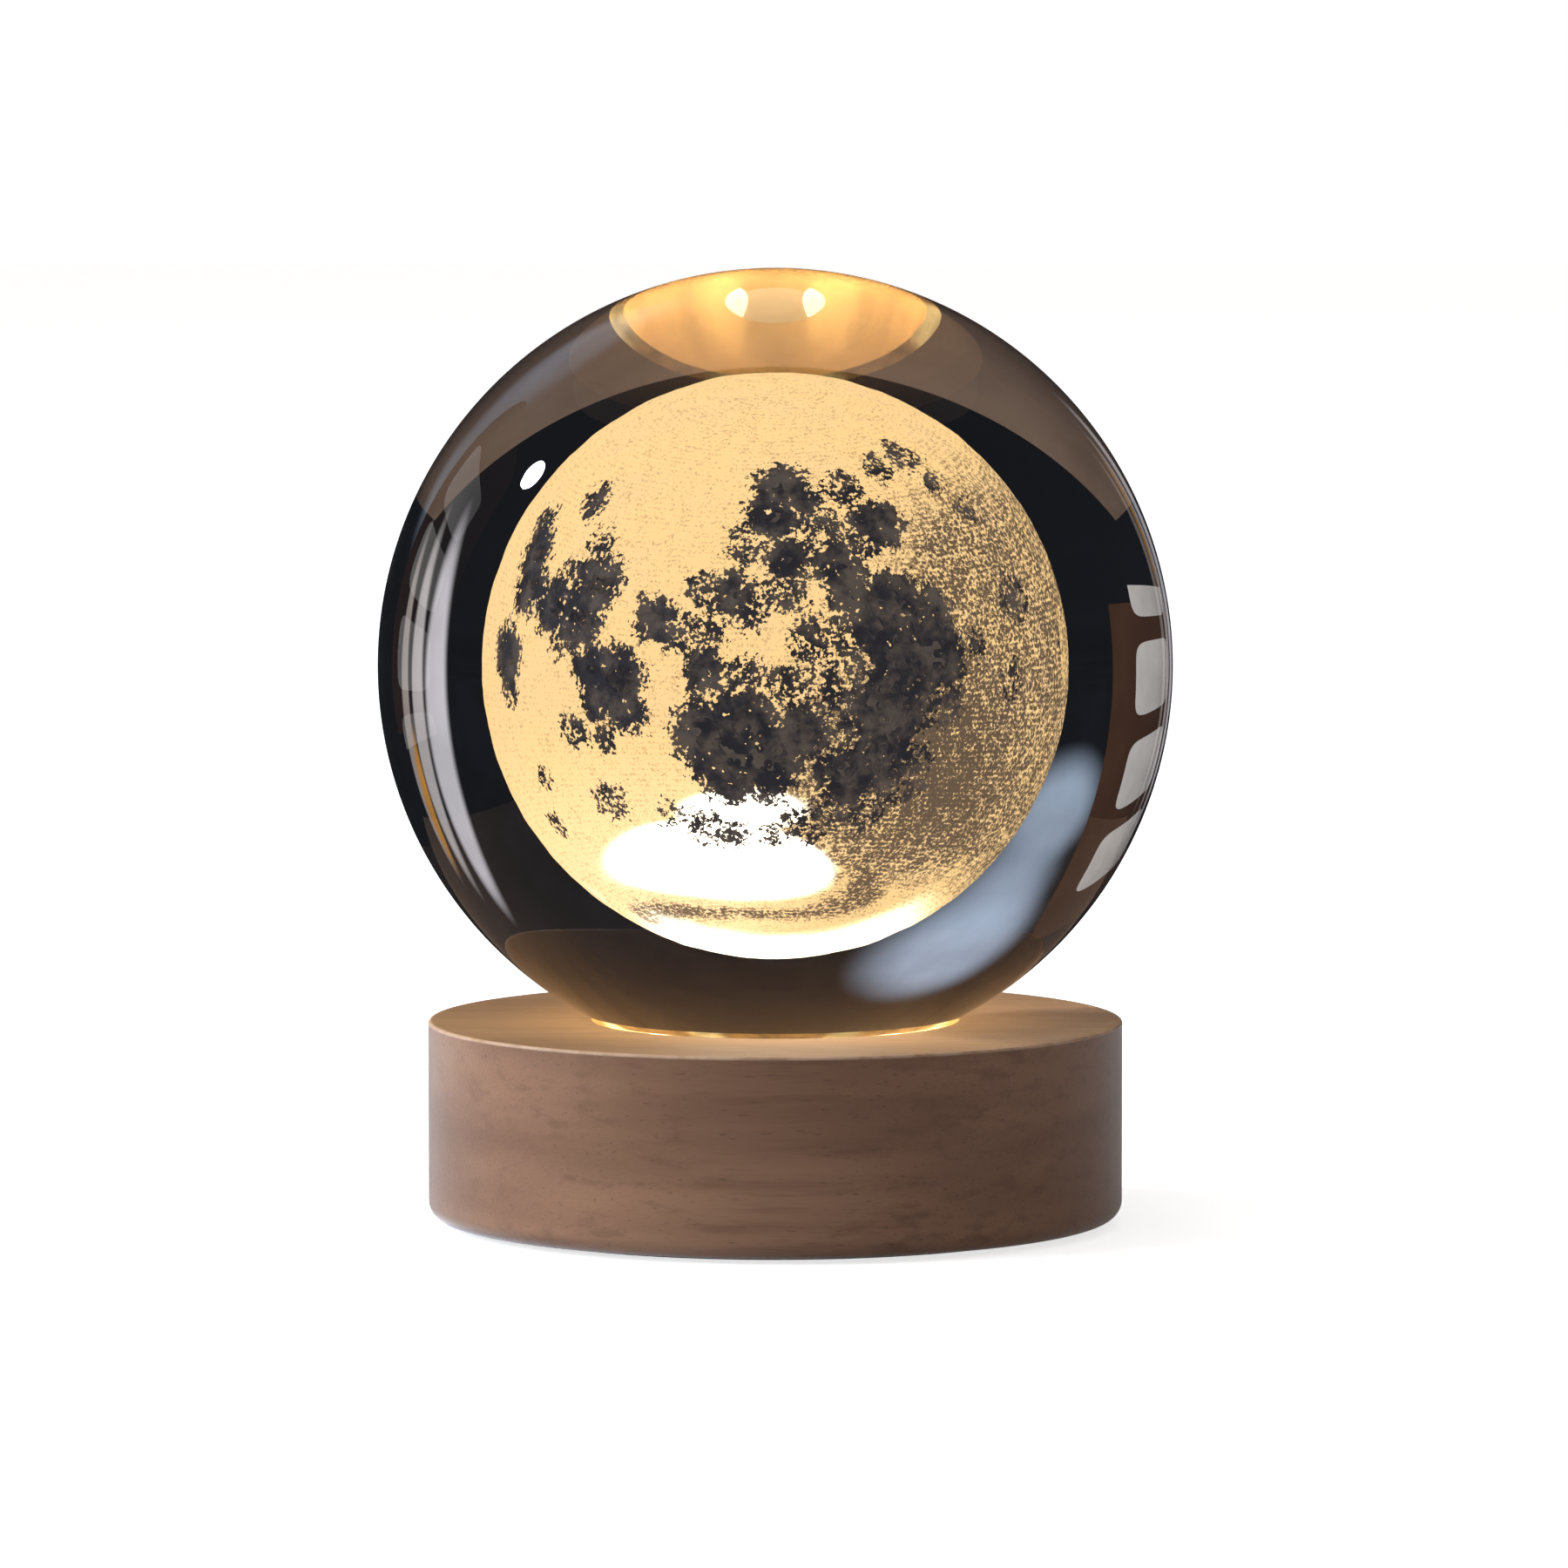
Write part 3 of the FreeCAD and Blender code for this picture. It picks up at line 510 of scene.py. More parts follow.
def led_board_mask():
    """White solder mask with ring tracks, flooded by the light of the LEDs on it; that light is
    painted as a glow, strongest round each LED.
    """
    finish = Finish("white_board")
    radius, _ = finish.from_axis()
    ring = finish.math("ABSOLUTE", finish.minus(radius, LED_RING_RADIUS * MM))
    inner = finish.math("ABSOLUTE", finish.minus(radius, INNER_TRACK_RADIUS * MM))
    led_track = finish.span(ring, 0.55 * MM, 0.7 * MM, 1.0, 0.0)
    inner_track = finish.span(inner, 0.3 * MM, 0.42 * MM, 1.0, 0.0)
    tracks = finish.math("MAXIMUM", led_track, inner_track)
    weave = finish.grain(0.7)
    tone = finish.mix(finish.times(tracks, 0.5), (0.62, 0.61, 0.57), (0.50, 0.45, 0.36))
    finish.colour(finish.mix(finish.span(weave, 0.35, 0.7, 0.0, 0.2), tone, (0.50, 0.48, 0.44)))
    finish.roughness(finish.span(weave, 0.3, 0.7, 0.3, 0.45))
    finish.bump(tracks, 0.05, 0.5)
    near_ring = finish.span(ring, 0.0, 5.0 * MM, 1.0, 0.0)
    halo = finish.times(near_ring, finish.span(finish.near_leds(), -0.2, 1.0, 0.05, 1.0))
    strength = finish.math("MULTIPLY_ADD", halo, BOARD_HALO, BOARD_GLOW)
    strength = finish.times(strength, finish.once_reflected(direct=0.05, reflected=1.1))
    finish.glow((1.0, 0.68, 0.25, 1), strength)
    return finish


def foam():
    """Black closed-cell foam with open pores on its cut faces."""
    finish = Finish("foam")
    pores = finish.cells(1 / (0.5 * MM))
    cloud = finish.span(finish.grain(6, detail=4), 0.3, 0.7)
    tone = finish.mix(cloud, (0.022, 0.022, 0.023), (0.045, 0.044, 0.043))
    finish.colour(finish.mix(finish.span(pores, 0.1, 0.35, 0.6, 0.0), tone, (0.008, 0.008, 0.008)))
    finish.roughness(finish.span(pores, 0.1, 0.5, 0.95, 0.8))
    finish.bump(pores, 0.15, 0.6)
    return finish


def contact_tongue():
    """Black tongue with gilt contact strips across its faces."""
    finish = plastic("socket_tongue", (0.03, 0.03, 0.032), 0.4)
    from_middle = finish.minus(finish.parts()["X"], PORT_X * MM)
    from_strip = finish.math("PINGPONG", from_middle, CONTACT_HALF_PITCH * MM)
    gilt = finish.span(from_strip, 0.13 * MM, 0.16 * MM, 1.0, 0.0)
    plain = finish.surface.inputs["Base Color"].links[0].from_socket
    finish.colour(finish.mix(gilt, plain, (0.80, 0.56, 0.20)))
    finish.link(gilt, finish.surface.inputs["Metallic"])
    return finish


# ---------------------------------------------------------------- meshes
def piece(name, mesh, finishes, body, slot, *nodes):
    """A new piece that rides on a body and stands for CAD nodes; slot is not used."""
    made = bpy.data.objects.new(name, mesh)
    scene.collection.objects.link(made)
    for finish in finishes:
        mesh.materials.append(finish.material)
    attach(made, body)
    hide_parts(*nodes)
    return made


def plain_mesh(name, bm):
    mesh = bpy.data.meshes.new(name)
    bm.to_mesh(mesh)
    bm.free()
    return mesh


def smoothed(mesh, sharp_degrees=180):
    """mesh with smooth shading, sharp where its faces meet at more than an angle."""
    for face in mesh.polygons:
        face.use_smooth = True
    if sharp_degrees < 180:
        mesh.set_sharp_from_angle(angle=math.radians(sharp_degrees))
    return mesh


def finished_mesh(name, bm, sharp_degrees=35):
    bmesh.ops.recalc_face_normals(bm, faces=bm.faces)
    return smoothed(plain_mesh(name, bm), sharp_degrees)


def arc(middle_r, middle_z, radius, first_degrees, last_degrees, steps):
    """Points of an arc in a half section, (radius, height)."""
    points = []
    for k in range(steps + 1):
        angle = math.radians(first_degrees + (last_degrees - first_degrees) * k / steps)
        points.append((middle_r + radius * math.cos(angle), middle_z + radius * math.sin(angle)))
    return points


def turned(points, segments, closed):
    """A lathe-turned bmesh about Z from a half section in millimetres."""
    bm = bmesh.new()
    rings = []
    for radius, height in points:
        if radius < 1e-6:
            rings.append([bm.verts.new((0, 0, height * MM))] * segments)
            continue
        ring = []
        for k in range(segments):
            angle = 2 * math.pi * k / segments
            x, y = radius * math.cos(angle) * MM, radius * math.sin(angle) * MM
            ring.append(bm.verts.new((x, y, height * MM)))
        rings.append(ring)
    uppers = rings[1:] + rings[:1] if closed else rings[1:]
    for lower, upper in zip(rings, uppers):
        for k in range(segments):
            after = (k + 1) % segments
            corners = [lower[k], lower[after], upper[after], upper[k]]
            corners = [v for n, v in enumerate(corners) if v not in corners[:n]]
            if len(corners) > 2:
                bm.faces.new(corners)
    return bm


def obround(width, height, front, back, grow=0.0, steps=16):
    """A slot's outline pushed from front to back along Y, grown at its back end."""
    bm = bmesh.new()
    rings = []
    half = (width - height) / 2
    for y, extra in ((front, 0.0), (back, grow)):
        ring = []
        for side, start in ((1, -90), (-1, 90)):
            for k in range(steps + 1):
                angle = math.radians(start + 180 * k / steps)
                x = side * half + (height / 2 + extra) * math.cos(angle)
                z = (height / 2 + extra) * math.sin(angle)
                ring.append(bm.verts.new((x * MM, y * MM, z * MM)))
        rings.append(ring)
    count = len(rings[0])
    for k in range(count):
        after = (k + 1) % count
        bm.faces.new((rings[0][k], rings[0][after], rings[1][after], rings[1][k]))
    bm.faces.new(rings[0])
    bm.faces.new(reversed(rings[1]))
    bmesh.ops.recalc_face_normals(bm, faces=bm.faces)
    return bm


def cutter(name, bm, x, z):
    mesh = plain_mesh(name, bm)
    mesh.transform(Matrix.Translation((x * MM, 0, z * MM)))
    made = bpy.data.objects.new(name, mesh)
    scene.collection.objects.link(made)
    return made


def cut_away(mesh, cutters):
    """mesh with every cutter taken out of it; the cutters are then removed."""
    work = bpy.data.objects.new("work", mesh)
    scene.collection.objects.link(work)
    for tool in cutters:
        step = work.modifiers.new(tool.name, "BOOLEAN")
        step.operation = "DIFFERENCE"
        step.solver = "EXACT"
        step.object = tool
    bpy.context.view_layer.update()
    evaluated = work.evaluated_get(bpy.context.evaluated_depsgraph_get())
    result = bpy.data.meshes.new_from_object(evaluated)
    for made in [work, *cutters]:
        bpy.data.objects.remove(made)
    return result


# ---------------------------------------------------------------- wooden base
def wood_section():
    """Closed half section of the turned base, from the seat outward and round."""
    seat = []
    for radius in (WELL_RADIUS, *SEAT_RINGS):
        seat.append((radius, BALL_CENTRE_Z - math.sqrt(SEAT_RADIUS ** 2 - radius ** 2)))
    top = [(radius, WOOD_TOP) for radius in TOP_RINGS]
    top += arc(BASE_RADIUS - TOP_EDGE_ROUND, WOOD_TOP - TOP_EDGE_ROUND, TOP_EDGE_ROUND, 90, 0, 5)
    side = [(BASE_RADIUS, WOOD_TOP - 1.2), (BASE_RADIUS, WOOD_BOTTOM + 3.2)]
    foot = arc(
        BASE_RADIUS - BOTTOM_EDGE_ROUND, WOOD_BOTTOM + BOTTOM_EDGE_ROUND, BOTTOM_EDGE_ROUND,
        0, -90, 12,
    )
    inside = [
        (RECESS_RADIUS, WOOD_BOTTOM),
        (RECESS_RADIUS, COVER_TOP),
        (CHAMBER_RADIUS, COVER_TOP),
        (CHAMBER_RADIUS, BOARD_TOP),
        (WELL_RADIUS, BOARD_TOP),
    ]
    return seat + top + side + foot + inside


def pocket():
    """The room for the control board, 1 mm over at its bottom so that it cuts clean."""
    bm = bmesh.new()
    bmesh.ops.create_cube(bm, size=1.0)
    middle = (0, POCKET_BACK / 2 * MM, (COVER_TOP + POCKET_TOP) / 2 * MM - 0.5 * MM)
    size = (2 * POCKET_HALF_WIDTH * MM, POCKET_BACK * MM, (POCKET_TOP - COVER_TOP + 1) * MM, 1)
    place = Matrix.Translation(middle) @ Matrix.Diagonal(size)
    bmesh.ops.transform(bm, matrix=place, verts=bm.verts)
    return bm


SIDE, TOP, SEAT, WALL = range(4)


def wood_zone(face):
    """Which of the base's finishes a face has."""
    reach = Vector(face.center[:2]).length
    height = face.center.z
    if (reach < (WELL_RADIUS + 0.1) * MM and height > (BOARD_TOP + 0.1) * MM
            and abs(face.normal.z) < 0.3):
        return WALL
    if (reach < SEAT_OUTER * MM and height > (BOARD_TOP + WOOD_TOP) / 2 * MM
            and face.normal.z > 0.3):
        return SEAT
    if face.normal.z > 0.3 or reach < (BASE_RADIUS - 3) * MM:
        return TOP
    return SIDE


blank_bm = turned(wood_section(), 256, True)
bmesh.ops.recalc_face_normals(blank_bm, faces=blank_bm.faces)
hole_start = POCKET_BACK - 2
hole_end = BASE_RADIUS + 3
hole = 2 * BUTTON_HOLE_RADIUS
port_edge = obround(PORT_WIDTH, PORT_HEIGHT, BASE_RADIUS - 1.4, BASE_RADIUS + 1.6, 1.5)
wood_mesh = cut_away(plain_mesh("wood_blank", blank_bm), [
    cutter("pocket", pocket(), 0, 0),
    cutter("port", obround(PORT_WIDTH, PORT_HEIGHT, hole_start, hole_end), PORT_X, PORT_Z),
    cutter("port_edge", port_edge, PORT_X, PORT_Z),
    cutter("button_hole", obround(hole, hole, hole_start, hole_end, steps=32), BUTTON_X, BUTTON_Z),
])
smoothed(wood_mesh, 35)
wood_mesh.materials.clear()
beech_side = beech("beech_side", 0.75, 0.5, SIDE_PALE, SIDE_BROWN)
wood_finishes = [beech_side, lit_top(), lit_seat(), lit_wall()]
piece("turned_base", wood_mesh, wood_finishes, "base", "beech", "wooden_base")
for face in wood_mesh.polygons:
    face.material_index = wood_zone(face)

# ---------------------------------------------------------------- crystal ball
ball_section = [(0.0, BALL_CENTRE_Z - BALL_RADIUS)]
ball_section += arc(0, BALL_CENTRE_Z, BALL_RADIUS, -90, 90, 144)[1:-1]
ball_section += [(0.0, BALL_CENTRE_Z + BALL_RADIUS)]
ball_mesh = finished_mesh("glass_ball", turned(ball_section, 256, False))
ball = piece("glass_ball", ball_mesh, [clear_crystal()], "ball", "clear_crystal", "crystal_ball")
ball.visible_shadow = False


# ---------------------------------------------------------------- engraved moon
def direction(latitude, longitude):
    lat = math.radians(latitude)
    lon = math.radians(longitude)
    return Vector((math.cos(lat) * math.cos(lon), math.cos(lat) * math.sin(lon), math.sin(lat)))


moon_turn = (
    Matrix.Rotation(math.radians(MOON_TILT[2]), 3, "Z")
    @ Matrix.Rotation(math.radians(MOON_TILT[1]), 3, "Y")
    @ Matrix.Rotation(math.radians(MOON_TILT[0]), 3, "X")
)

noise.seed_set(NOISE_SEED)

PLAIN_SPREAD = 1.30    # over a plain's listed width, before its edge is broken up
SOLID_DEPTH = 9.0      # millimetres inside its edge that a solid plain may reach
BROKEN_DEPTH = 0.22    # of a broken plain, so near the edge that dots and gaps mix
FLECK_DEPTH = 0.15     # given to the places inside a plain where dots may stand
FLECKED_FROM = 0.3     # depth from which a plain has such places
DEEPEST = 2.2          # any more is cut to this
OPEN_BEYOND = 1.6      # depth from which the shell is open

# Latitude and longitude in degrees, width in kilometres.
SOLID_PLAINS = [
    (13.8, 61.1, 335), (19.0, 61.8, 225),  # crisium
    (-7.0, 52.4, 340), (-0.5, 51.9, 315),  # fecunditatis
    (-18.7, 37.9, 210),  # nectaris
    (1.9, 27.9, 365), (10.1, 31.7, 370), (5.3, 41.0, 330),  # tranquillitatis
    (22.1, 28.3, 295), (24.4, 19.9, 375), (32.8, 17.4, 260), (29.9, 27.2, 250),  # serenitatis
    (10.0, 9.7, 265),  # vaporum
    (2.3, -9.0, 295),  # aestuum
    (-28.4, -12.8, 325), (-21.0, -13.2, 355), (-24.8, -19.7, 250), (-9.4, -20.0, 305),  # nubium
    (-11.7, -32.2, 305), (-5.0, -36.2, 295),  # cognitum
    (-25.1, -39.6, 330),  # humorum
    (-7.0, -46.5, 395), (0.8, -43.7, 380), (-5.5, -55.4, 390), (1.7, -61.5, 390),  # procellarum
    (5.9, -54.5, 540), (17.3, -54.2, 480), (27.7, -57.4, 445), (36.4, -52.2, 380),  # procellarum
    (36.3, -7.9, 435), (31.6, -18.3, 425), (43.3, -16.1, 445), (38.7, -27.7, 450),  # imbrium
    (21.0, -5.3, 295),  # apenninus
    (30.6, -34.7, 355),  # imbrium
    (46.4, -30.9, 190),  # iridum
    (-4.8, -72.1, 130),  # grimaldi
    (12.7, 112.0, 300),  # marginis
    (-1.7, 125.0, 300),  # smythii
    (27.3, 148.0, 270),  # moscoviense
    (-33.7, 163.5, 300),  # ingenii
]
BROKEN_PLAINS = [
    (-14.1, 54.1, 225),  # fecunditatis
    (-7.6, 29.2, 190),  # asperitatis
    (1.1, 36.6, 240),  # tranquillitatis
    (14.7, 38.6, 180),  # serenitatis
    (35.3, 37.6, 200),  # somniorum
    (38.1, 26.7, 155),  # lacus
    (12.8, 3.0, 225),  # vaporum
    (2.7, -1.9, 230),  # medii
    (5.7, -13.1, 195), (12.0, -5.5, 165),  # aestuum
    (-11.1, -9.1, 240),  # nubium
    (-19.8, -24.9, 285), (-15.3, -19.7, 285),  # cognitum
    (-32.8, -29.0, 215),  # mersenius
    (-18.4, -34.9, 190),  # humorum
    (9.6, -65.5, 375),  # procellarum
    (30.2, -66.5, 375), (42.1, -59.7, 345),  # roris
    (26.2, -7.9, 290),  # imbrium
    (23.5, -17.0, 355),  # apenninus
    (23.6, -26.7, 390), (20.7, -35.4, 385),  # carpatus
    (23.9, -41.6, 320),  # imbrium
    (7.6, -30.4, 270), (-1.0, -20.9, 260), (4.7, -38.5, 290), (13.2, -39.9, 260),  # insularum
    (53.2, 34.7, 210), (58.4, 5.9, 155), (60.5, -8.6, 205), (60.8, -21.6, 155),  # frigoris
    (57.9, -41.2, 155), (51.5, -49.4, 280),  # frigoris
    (-2.2, -86.7, 180),  # riccioli
    (-21.3, -83.9, 235),  # orientale
    (-43.6, -58.5, 135),  # vieta
    (-49.3, -48.1, 205),  # schickard
    (-38.3, -68.1, 135),  # byrgius
    (-41.9, -38.9, 180),  # schiller
    (49.7, 73.9, 130),  # endymion
    (42.0, 61.6, 115),  # atlas
    (-19.4, -115.0, 300),  # orientale
]
PLAINS = SOLID_PLAINS + BROKEN_PLAINS
plain_middles = np.array([direction(lat, lon) for lat, lon, _ in PLAINS])
plain_reaches = np.array([PLAIN_SPREAD * width / 2 / REAL_MOON_RADIUS_KM for *_, width in PLAINS])
plain_limits = np.array([SOLID_DEPTH] * len(SOLID_PLAINS) + [BROKEN_DEPTH] * len(BROKEN_PLAINS))


def plain_depth(toward):
    """Millimetres inside the nearest dark plain's edge, negative outside."""
    own = moon_turn.transposed() @ toward
    ragged = own.copy()
    for scale, amount in ((6.0, 0.022), (15.0, 0.014), (34.0, 0.008)):
        ragged += noise.noise_vector(own * scale) * amount
    own = ragged.normalized()
    angles = np.arccos(np.clip(plain_middles @ np.array(own), -1, 1))
    reached = (plain_reaches - angles) * MOON_RADIUS
    depth = float(np.max(np.minimum(reached, plain_limits)))
    if depth > FLECKED_FROM and noise.noise(own * 70.0) > 0.30 - 0.2 * noise.noise(own * 9.0):
        return FLECK_DEPTH
    return min(depth, DEEPEST)


def smooth(value, low, high):
    share = min(1.0, max(0.0, (value - low) / (high - low)))
    return share * share * (3 - 2 * share)


# Places on the moon's light side, in moon radii: right (X), away from the camera (Y), up.
UP = Vector((0, 0.084, 0.9965))
SPOT_X, SPOT_UP = -0.20, -0.768
SPOT_HALF_WIDTH, SPOT_HALF_HEIGHT = 0.42, 0.128
SPOT_LEAN = 0.11
UPPER_SPOT_X, UPPER_SPOT_UP = -0.13, -0.60
UPPER_SPOT_HALF_WIDTH, UPPER_SPOT_HALF_HEIGHT = 0.25, 0.08
WEDGE_MIDDLE = Vector((0.48, -0.76, -0.42)).normalized()
WEDGE_REACH = 0.80      # radians


def hot_spot(toward):
    """Distance from the middle of the LEDs' bright patch on the front, 1 at its edge."""
    across = toward.x - SPOT_X
    above = toward.dot(UP) - SPOT_UP + SPOT_LEAN * across
    return math.hypot(across / SPOT_HALF_WIDTH, above / SPOT_HALF_HEIGHT)


def upper_spot(toward):
    """The same for the fainter patch above it."""
    across = toward.x - UPPER_SPOT_X
    above = toward.dot(UP) - UPPER_SPOT_UP
    return math.hypot(across / UPPER_SPOT_HALF_WIDTH, above / UPPER_SPOT_HALF_HEIGHT)


def moon_glow(toward):
    """How much of the LEDs' light reaches this side, painted as glow: brightest below, with one hot
    spot.
    """
    height = toward.dot(UP)
    bottom = smooth(-height - 0.5 * abs(toward.x - 0.1), 0.50, 0.86)
    below = smooth(toward.y, -0.27, -0.12) * bottom
    low_side = smooth(-height, 0.1, 0.9) * smooth(0.35 - toward.x, 0.0, 0.6)
    spot = 0.0
    if toward.y < 0.1:
        upper = 0.8 * smooth(1.25 - upper_spot(toward), 0.0, 0.5)
        spot = max(smooth(1.12 - hot_spot(toward), 0.0, 0.25), upper)
    return 1.0 + 0.3 * low_side + 1.5 * below + 2.6 * spot


def moon_shade(toward):
    """Painted shade on the lit ground, as dark stipple: heavier on the right, in a wedge low on the
    right and in a ring round the hot spot, lighter on the left.
    """
    height = toward.dot(UP)
    wedge = smooth(1 - WEDGE_MIDDLE.angle(toward) / WEDGE_REACH, 0.0, 0.75)
    right = smooth(toward.x, 0.28, 0.70)
    right *= smooth(0.95 - height, 0.0, 0.5) * smooth(height + 0.97, 0.0, 0.4)
    right *= smooth(0.75 - toward.y, 0.0, 0.6)
    ring = 0.0
    if toward.y < 0.0 and height < -0.8:
        ring = smooth(1 - abs(hot_spot(toward) - 1.32) / 0.20, 0.0, 1.0)
    left = smooth(-toward.x, 0.4, 0.9)
    return 0.33 + 0.67 * wedge + 0.62 * right + 0.7 * ring - 0.06 * left


def moon_mesh():
    """Fine globe, open inside the plains, with its depth, glow and shade at each vertex."""
    bm = bmesh.new()
    bmesh.ops.create_icosphere(bm, subdivisions=7, radius=1.0)
    bm.verts.ensure_lookup_table()
    towards = [vertex.co.normalized() for vertex in bm.verts]
    depths = [plain_depth(toward) for toward in towards]
    middle = Vector((0, 0, BALL_CENTRE_Z * MM))
    for vertex, toward in zip(bm.verts, towards):
        relief = noise.fractal(toward * 9.0, 0.8, 2.0, 4) * MOON_RELIEF
        relief = min(MOON_RELIEF, max(MOON_HOLLOW, relief))
        vertex.co = middle + toward * (MOON_RADIUS - MOON_RELIEF + relief) * MM
    layers = [bm.verts.layers.float.new(name) for name in ("plain_mm", "glow", "shade")]
    for vertex, toward, depth in zip(bm.verts, towards, depths):
        for layer, value in zip(layers, (depth, moon_glow(toward), moon_shade(toward))):
            vertex[layer] = value
    is_open = [depth > OPEN_BEYOND for depth in depths]
    gone = [face for face in bm.faces if all(is_open[v.index] for v in face.verts)]
    bmesh.ops.delete(bm, geom=gone, context="FACES")
    return smoothed(plain_mesh("moon_shell", bm))


moon = piece(
    "moon_shell", moon_mesh(), [engraving(), engraving_inside()],
    "ball", "engraving", "engraved_moon",
)
thicken = moon.modifiers.new("thickness", "SOLIDIFY")
thicken.thickness = ENGRAVING_DEPTH * MM
thicken.offset = -1
thicken.material_offset = 1
thicken.material_offset_rim = 1


# ---------------------------------------------------------------- LEDs
def led_mesh(name, degrees):
    """White case, long side along the ring, with a sunk phosphor window on top."""
    bm = bmesh.new()
    bmesh.ops.create_cube(bm, size=1.0)
    size = (LED_WIDTH * MM, LED_LENGTH * MM, LED_HEIGHT * MM, 1)
    bmesh.ops.transform(bm, matrix=Matrix.Diagonal(size), verts=bm.verts)
    upright = [
        edge for edge in bm.edges
        if abs(edge.verts[0].co.z - edge.verts[1].co.z) > LED_HEIGHT / 2 * MM
    ]
    bmesh.ops.bevel(
        bm, geom=upright, offset=LED_CORNER * MM, segments=3, affect="EDGES", profile=0.5,
    )
    top = max(bm.faces, key=lambda face: face.calc_center_median().z + (face.normal.z > 0.9))
    bmesh.ops.inset_region(bm, faces=[top], thickness=LED_LENS_MARGIN * MM)
    top.material_index = 1
    bmesh.ops.translate(bm, vec=(0, 0, -LED_LENS_DEPTH * MM), verts=top.verts)
    place = (
        Matrix.Rotation(math.radians(degrees), 4, "Z")
        @ Matrix.Translation((LED_RING_RADIUS * MM, 0, (BOARD_TOP + LED_HEIGHT / 2) * MM))
    )
    bmesh.ops.transform(bm, matrix=place, verts=bm.verts)
    return finished_mesh(name, bm, 25)


led_finishes = [led_case(), led_phosphor()]
for number in range(1, LED_COUNT + 1):
    name = f"led_lit_{number}"
    mesh = led_mesh(name, (number - 0.5) * 360 / LED_COUNT)
    piece(name, mesh, led_finishes, "base", "led_case", f"led_{number}")

# ---------------------------------------------------------------- push button
button_section = [
    (0.0, BUTTON_FLANGE_FRONT),
    (BUTTON_FLANGE_RADIUS, BUTTON_FLANGE_FRONT),
    (BUTTON_FLANGE_RADIUS, BUTTON_FLANGE_BACK),
    (BUTTON_RADIUS, BUTTON_FLANGE_BACK),
]
button_section += arc(
    BUTTON_RADIUS - BUTTON_EDGE_ROUND, BUTTON_FACE - BUTTON_EDGE_ROUND, BUTTON_EDGE_ROUND,
    0, 90, 6,
)
button_section += [(radius, BUTTON_FACE - sunk) for radius, sunk in BUTTON_DISH]
button_bm = turned(button_section, 64, False)
button_place = (
    Matrix.Translation((BUTTON_X * MM, 0, BUTTON_Z * MM))
    @ Matrix.Rotation(math.radians(-90), 4, "X")
)
bmesh.ops.transform(button_bm, matrix=button_place, verts=button_bm.verts)
piece(
    "push_button", finished_mesh("push_button", button_bm, 40),
    [plastic("button_plastic", (0.035, 0.034, 0.033), 0.38, 0.25, 0.015)],
    "button", "button_plastic", "button_cap",
)

# ---------------------------------------------------------------- foam foot
pad_round = PAD_RADIUS - PAD_EDGE_ROUND
pad_section = [(0.0, 0.0)]
pad_section += arc(pad_round, PAD_EDGE_ROUND, PAD_EDGE_ROUND, -90, 0, 5)
pad_section += arc(pad_round, PAD_THICKNESS - PAD_EDGE_ROUND, PAD_EDGE_ROUND, 0, 90, 5)
pad_section += [(0.0, PAD_THICKNESS)]
pad_mesh = finished_mesh("foam_foot", turned(pad_section, 128, False))
pad = piece("foam_foot", pad_mesh, [foam()], "base", "foam", "foot_pad")


# ---------------------------------------------------------------- CAD pieces that stay
def dress(finish, *nodes):
    for node in nodes:
        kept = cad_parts[node]
        kept.data.materials.clear()
        kept.data.materials.append(finish.material)


dress(led_board_mask(), "led_board")
dress(circuit_board("green_board", (0.012, 0.085, 0.035), (0.03, 0.17, 0.07), 420), "control_board")
dress(contact_tongue(), "usb_socket_tongue")
dress(
    plastic("resistor", (0.05, 0.05, 0.055), 0.4, 0.12, 0.01),
    "resistor_1", "resistor_2", "resistor_3", "resistor_4",
)
dress(plastic("chip_black", (0.028, 0.028, 0.030), 0.5, 0.12, 0.01), "control_chip")
dress(plastic("black_plastic", (0.030, 0.030, 0.032), 0.45), "switch_body")
dress(plastic("switch_plunger", (0.62, 0.60, 0.55), 0.4), "switch_plunger")
dress(plastic("wire_black", (0.020, 0.020, 0.022), 0.42, 0.6, 0.02), "lead_black")
dress(plastic("wire_red", (0.42, 0.020, 0.016), 0.42, 0.6, 0.02), "lead_red")
dress(plastic("cover_plastic", (0.045, 0.045, 0.046), 0.5, 0.5, 0.03), "bottom_cover")
dress(metal("screw_steel", (0.60, 0.60, 0.58), 0.3), "led_board_screws", "control_board_screws")
dress(metal("socket_steel", (0.68, 0.68, 0.67), 0.26), "usb_socket_shell")
dress(metal("screw_brass", (0.62, 0.44, 0.19), 0.3), "cover_screws")

# ---------------------------------------------------------------- stage, metres
FLOOR_HALF = 6.0
FLAG_HALF = 3.0
TABLE_HALF = 0.112
FLAG_LIFT = 0.1 * MM
TABLE_LIFT = 0.2 * MM
FLOOR_WHITENING = 0.72      # takes the lit floor up to white for the camera
TENT_RADIUS = 3.0
TENT_COLUMNS, TENT_ROWS = 72, 24
TENT_FOOT, TENT_RISE = -2, 92           # degrees
CARD_AIM = Vector((0, 0, 0.056))
CARD_CORNERS = 48
CARD_SQUARENESS = 0.35      # 1 is an ellipse, 0 a rectangle


def seen_by_lens_and_shine(tree):
    """1 for camera, glossy and transmission rays, 0 for the rest."""
    path = tree.nodes.new("ShaderNodeLightPath")
    seen = path.outputs["Is Camera Ray"]
    for ray in ("Is Glossy Ray", "Is Transmission Ray"):
        either = tree.nodes.new("ShaderNodeMath")
        either.operation = "MAXIMUM"
        tree.links.new(seen, either.inputs[0])
        tree.links.new(path.outputs[ray], either.inputs[1])
        seen = either.outputs[0]
    return seen


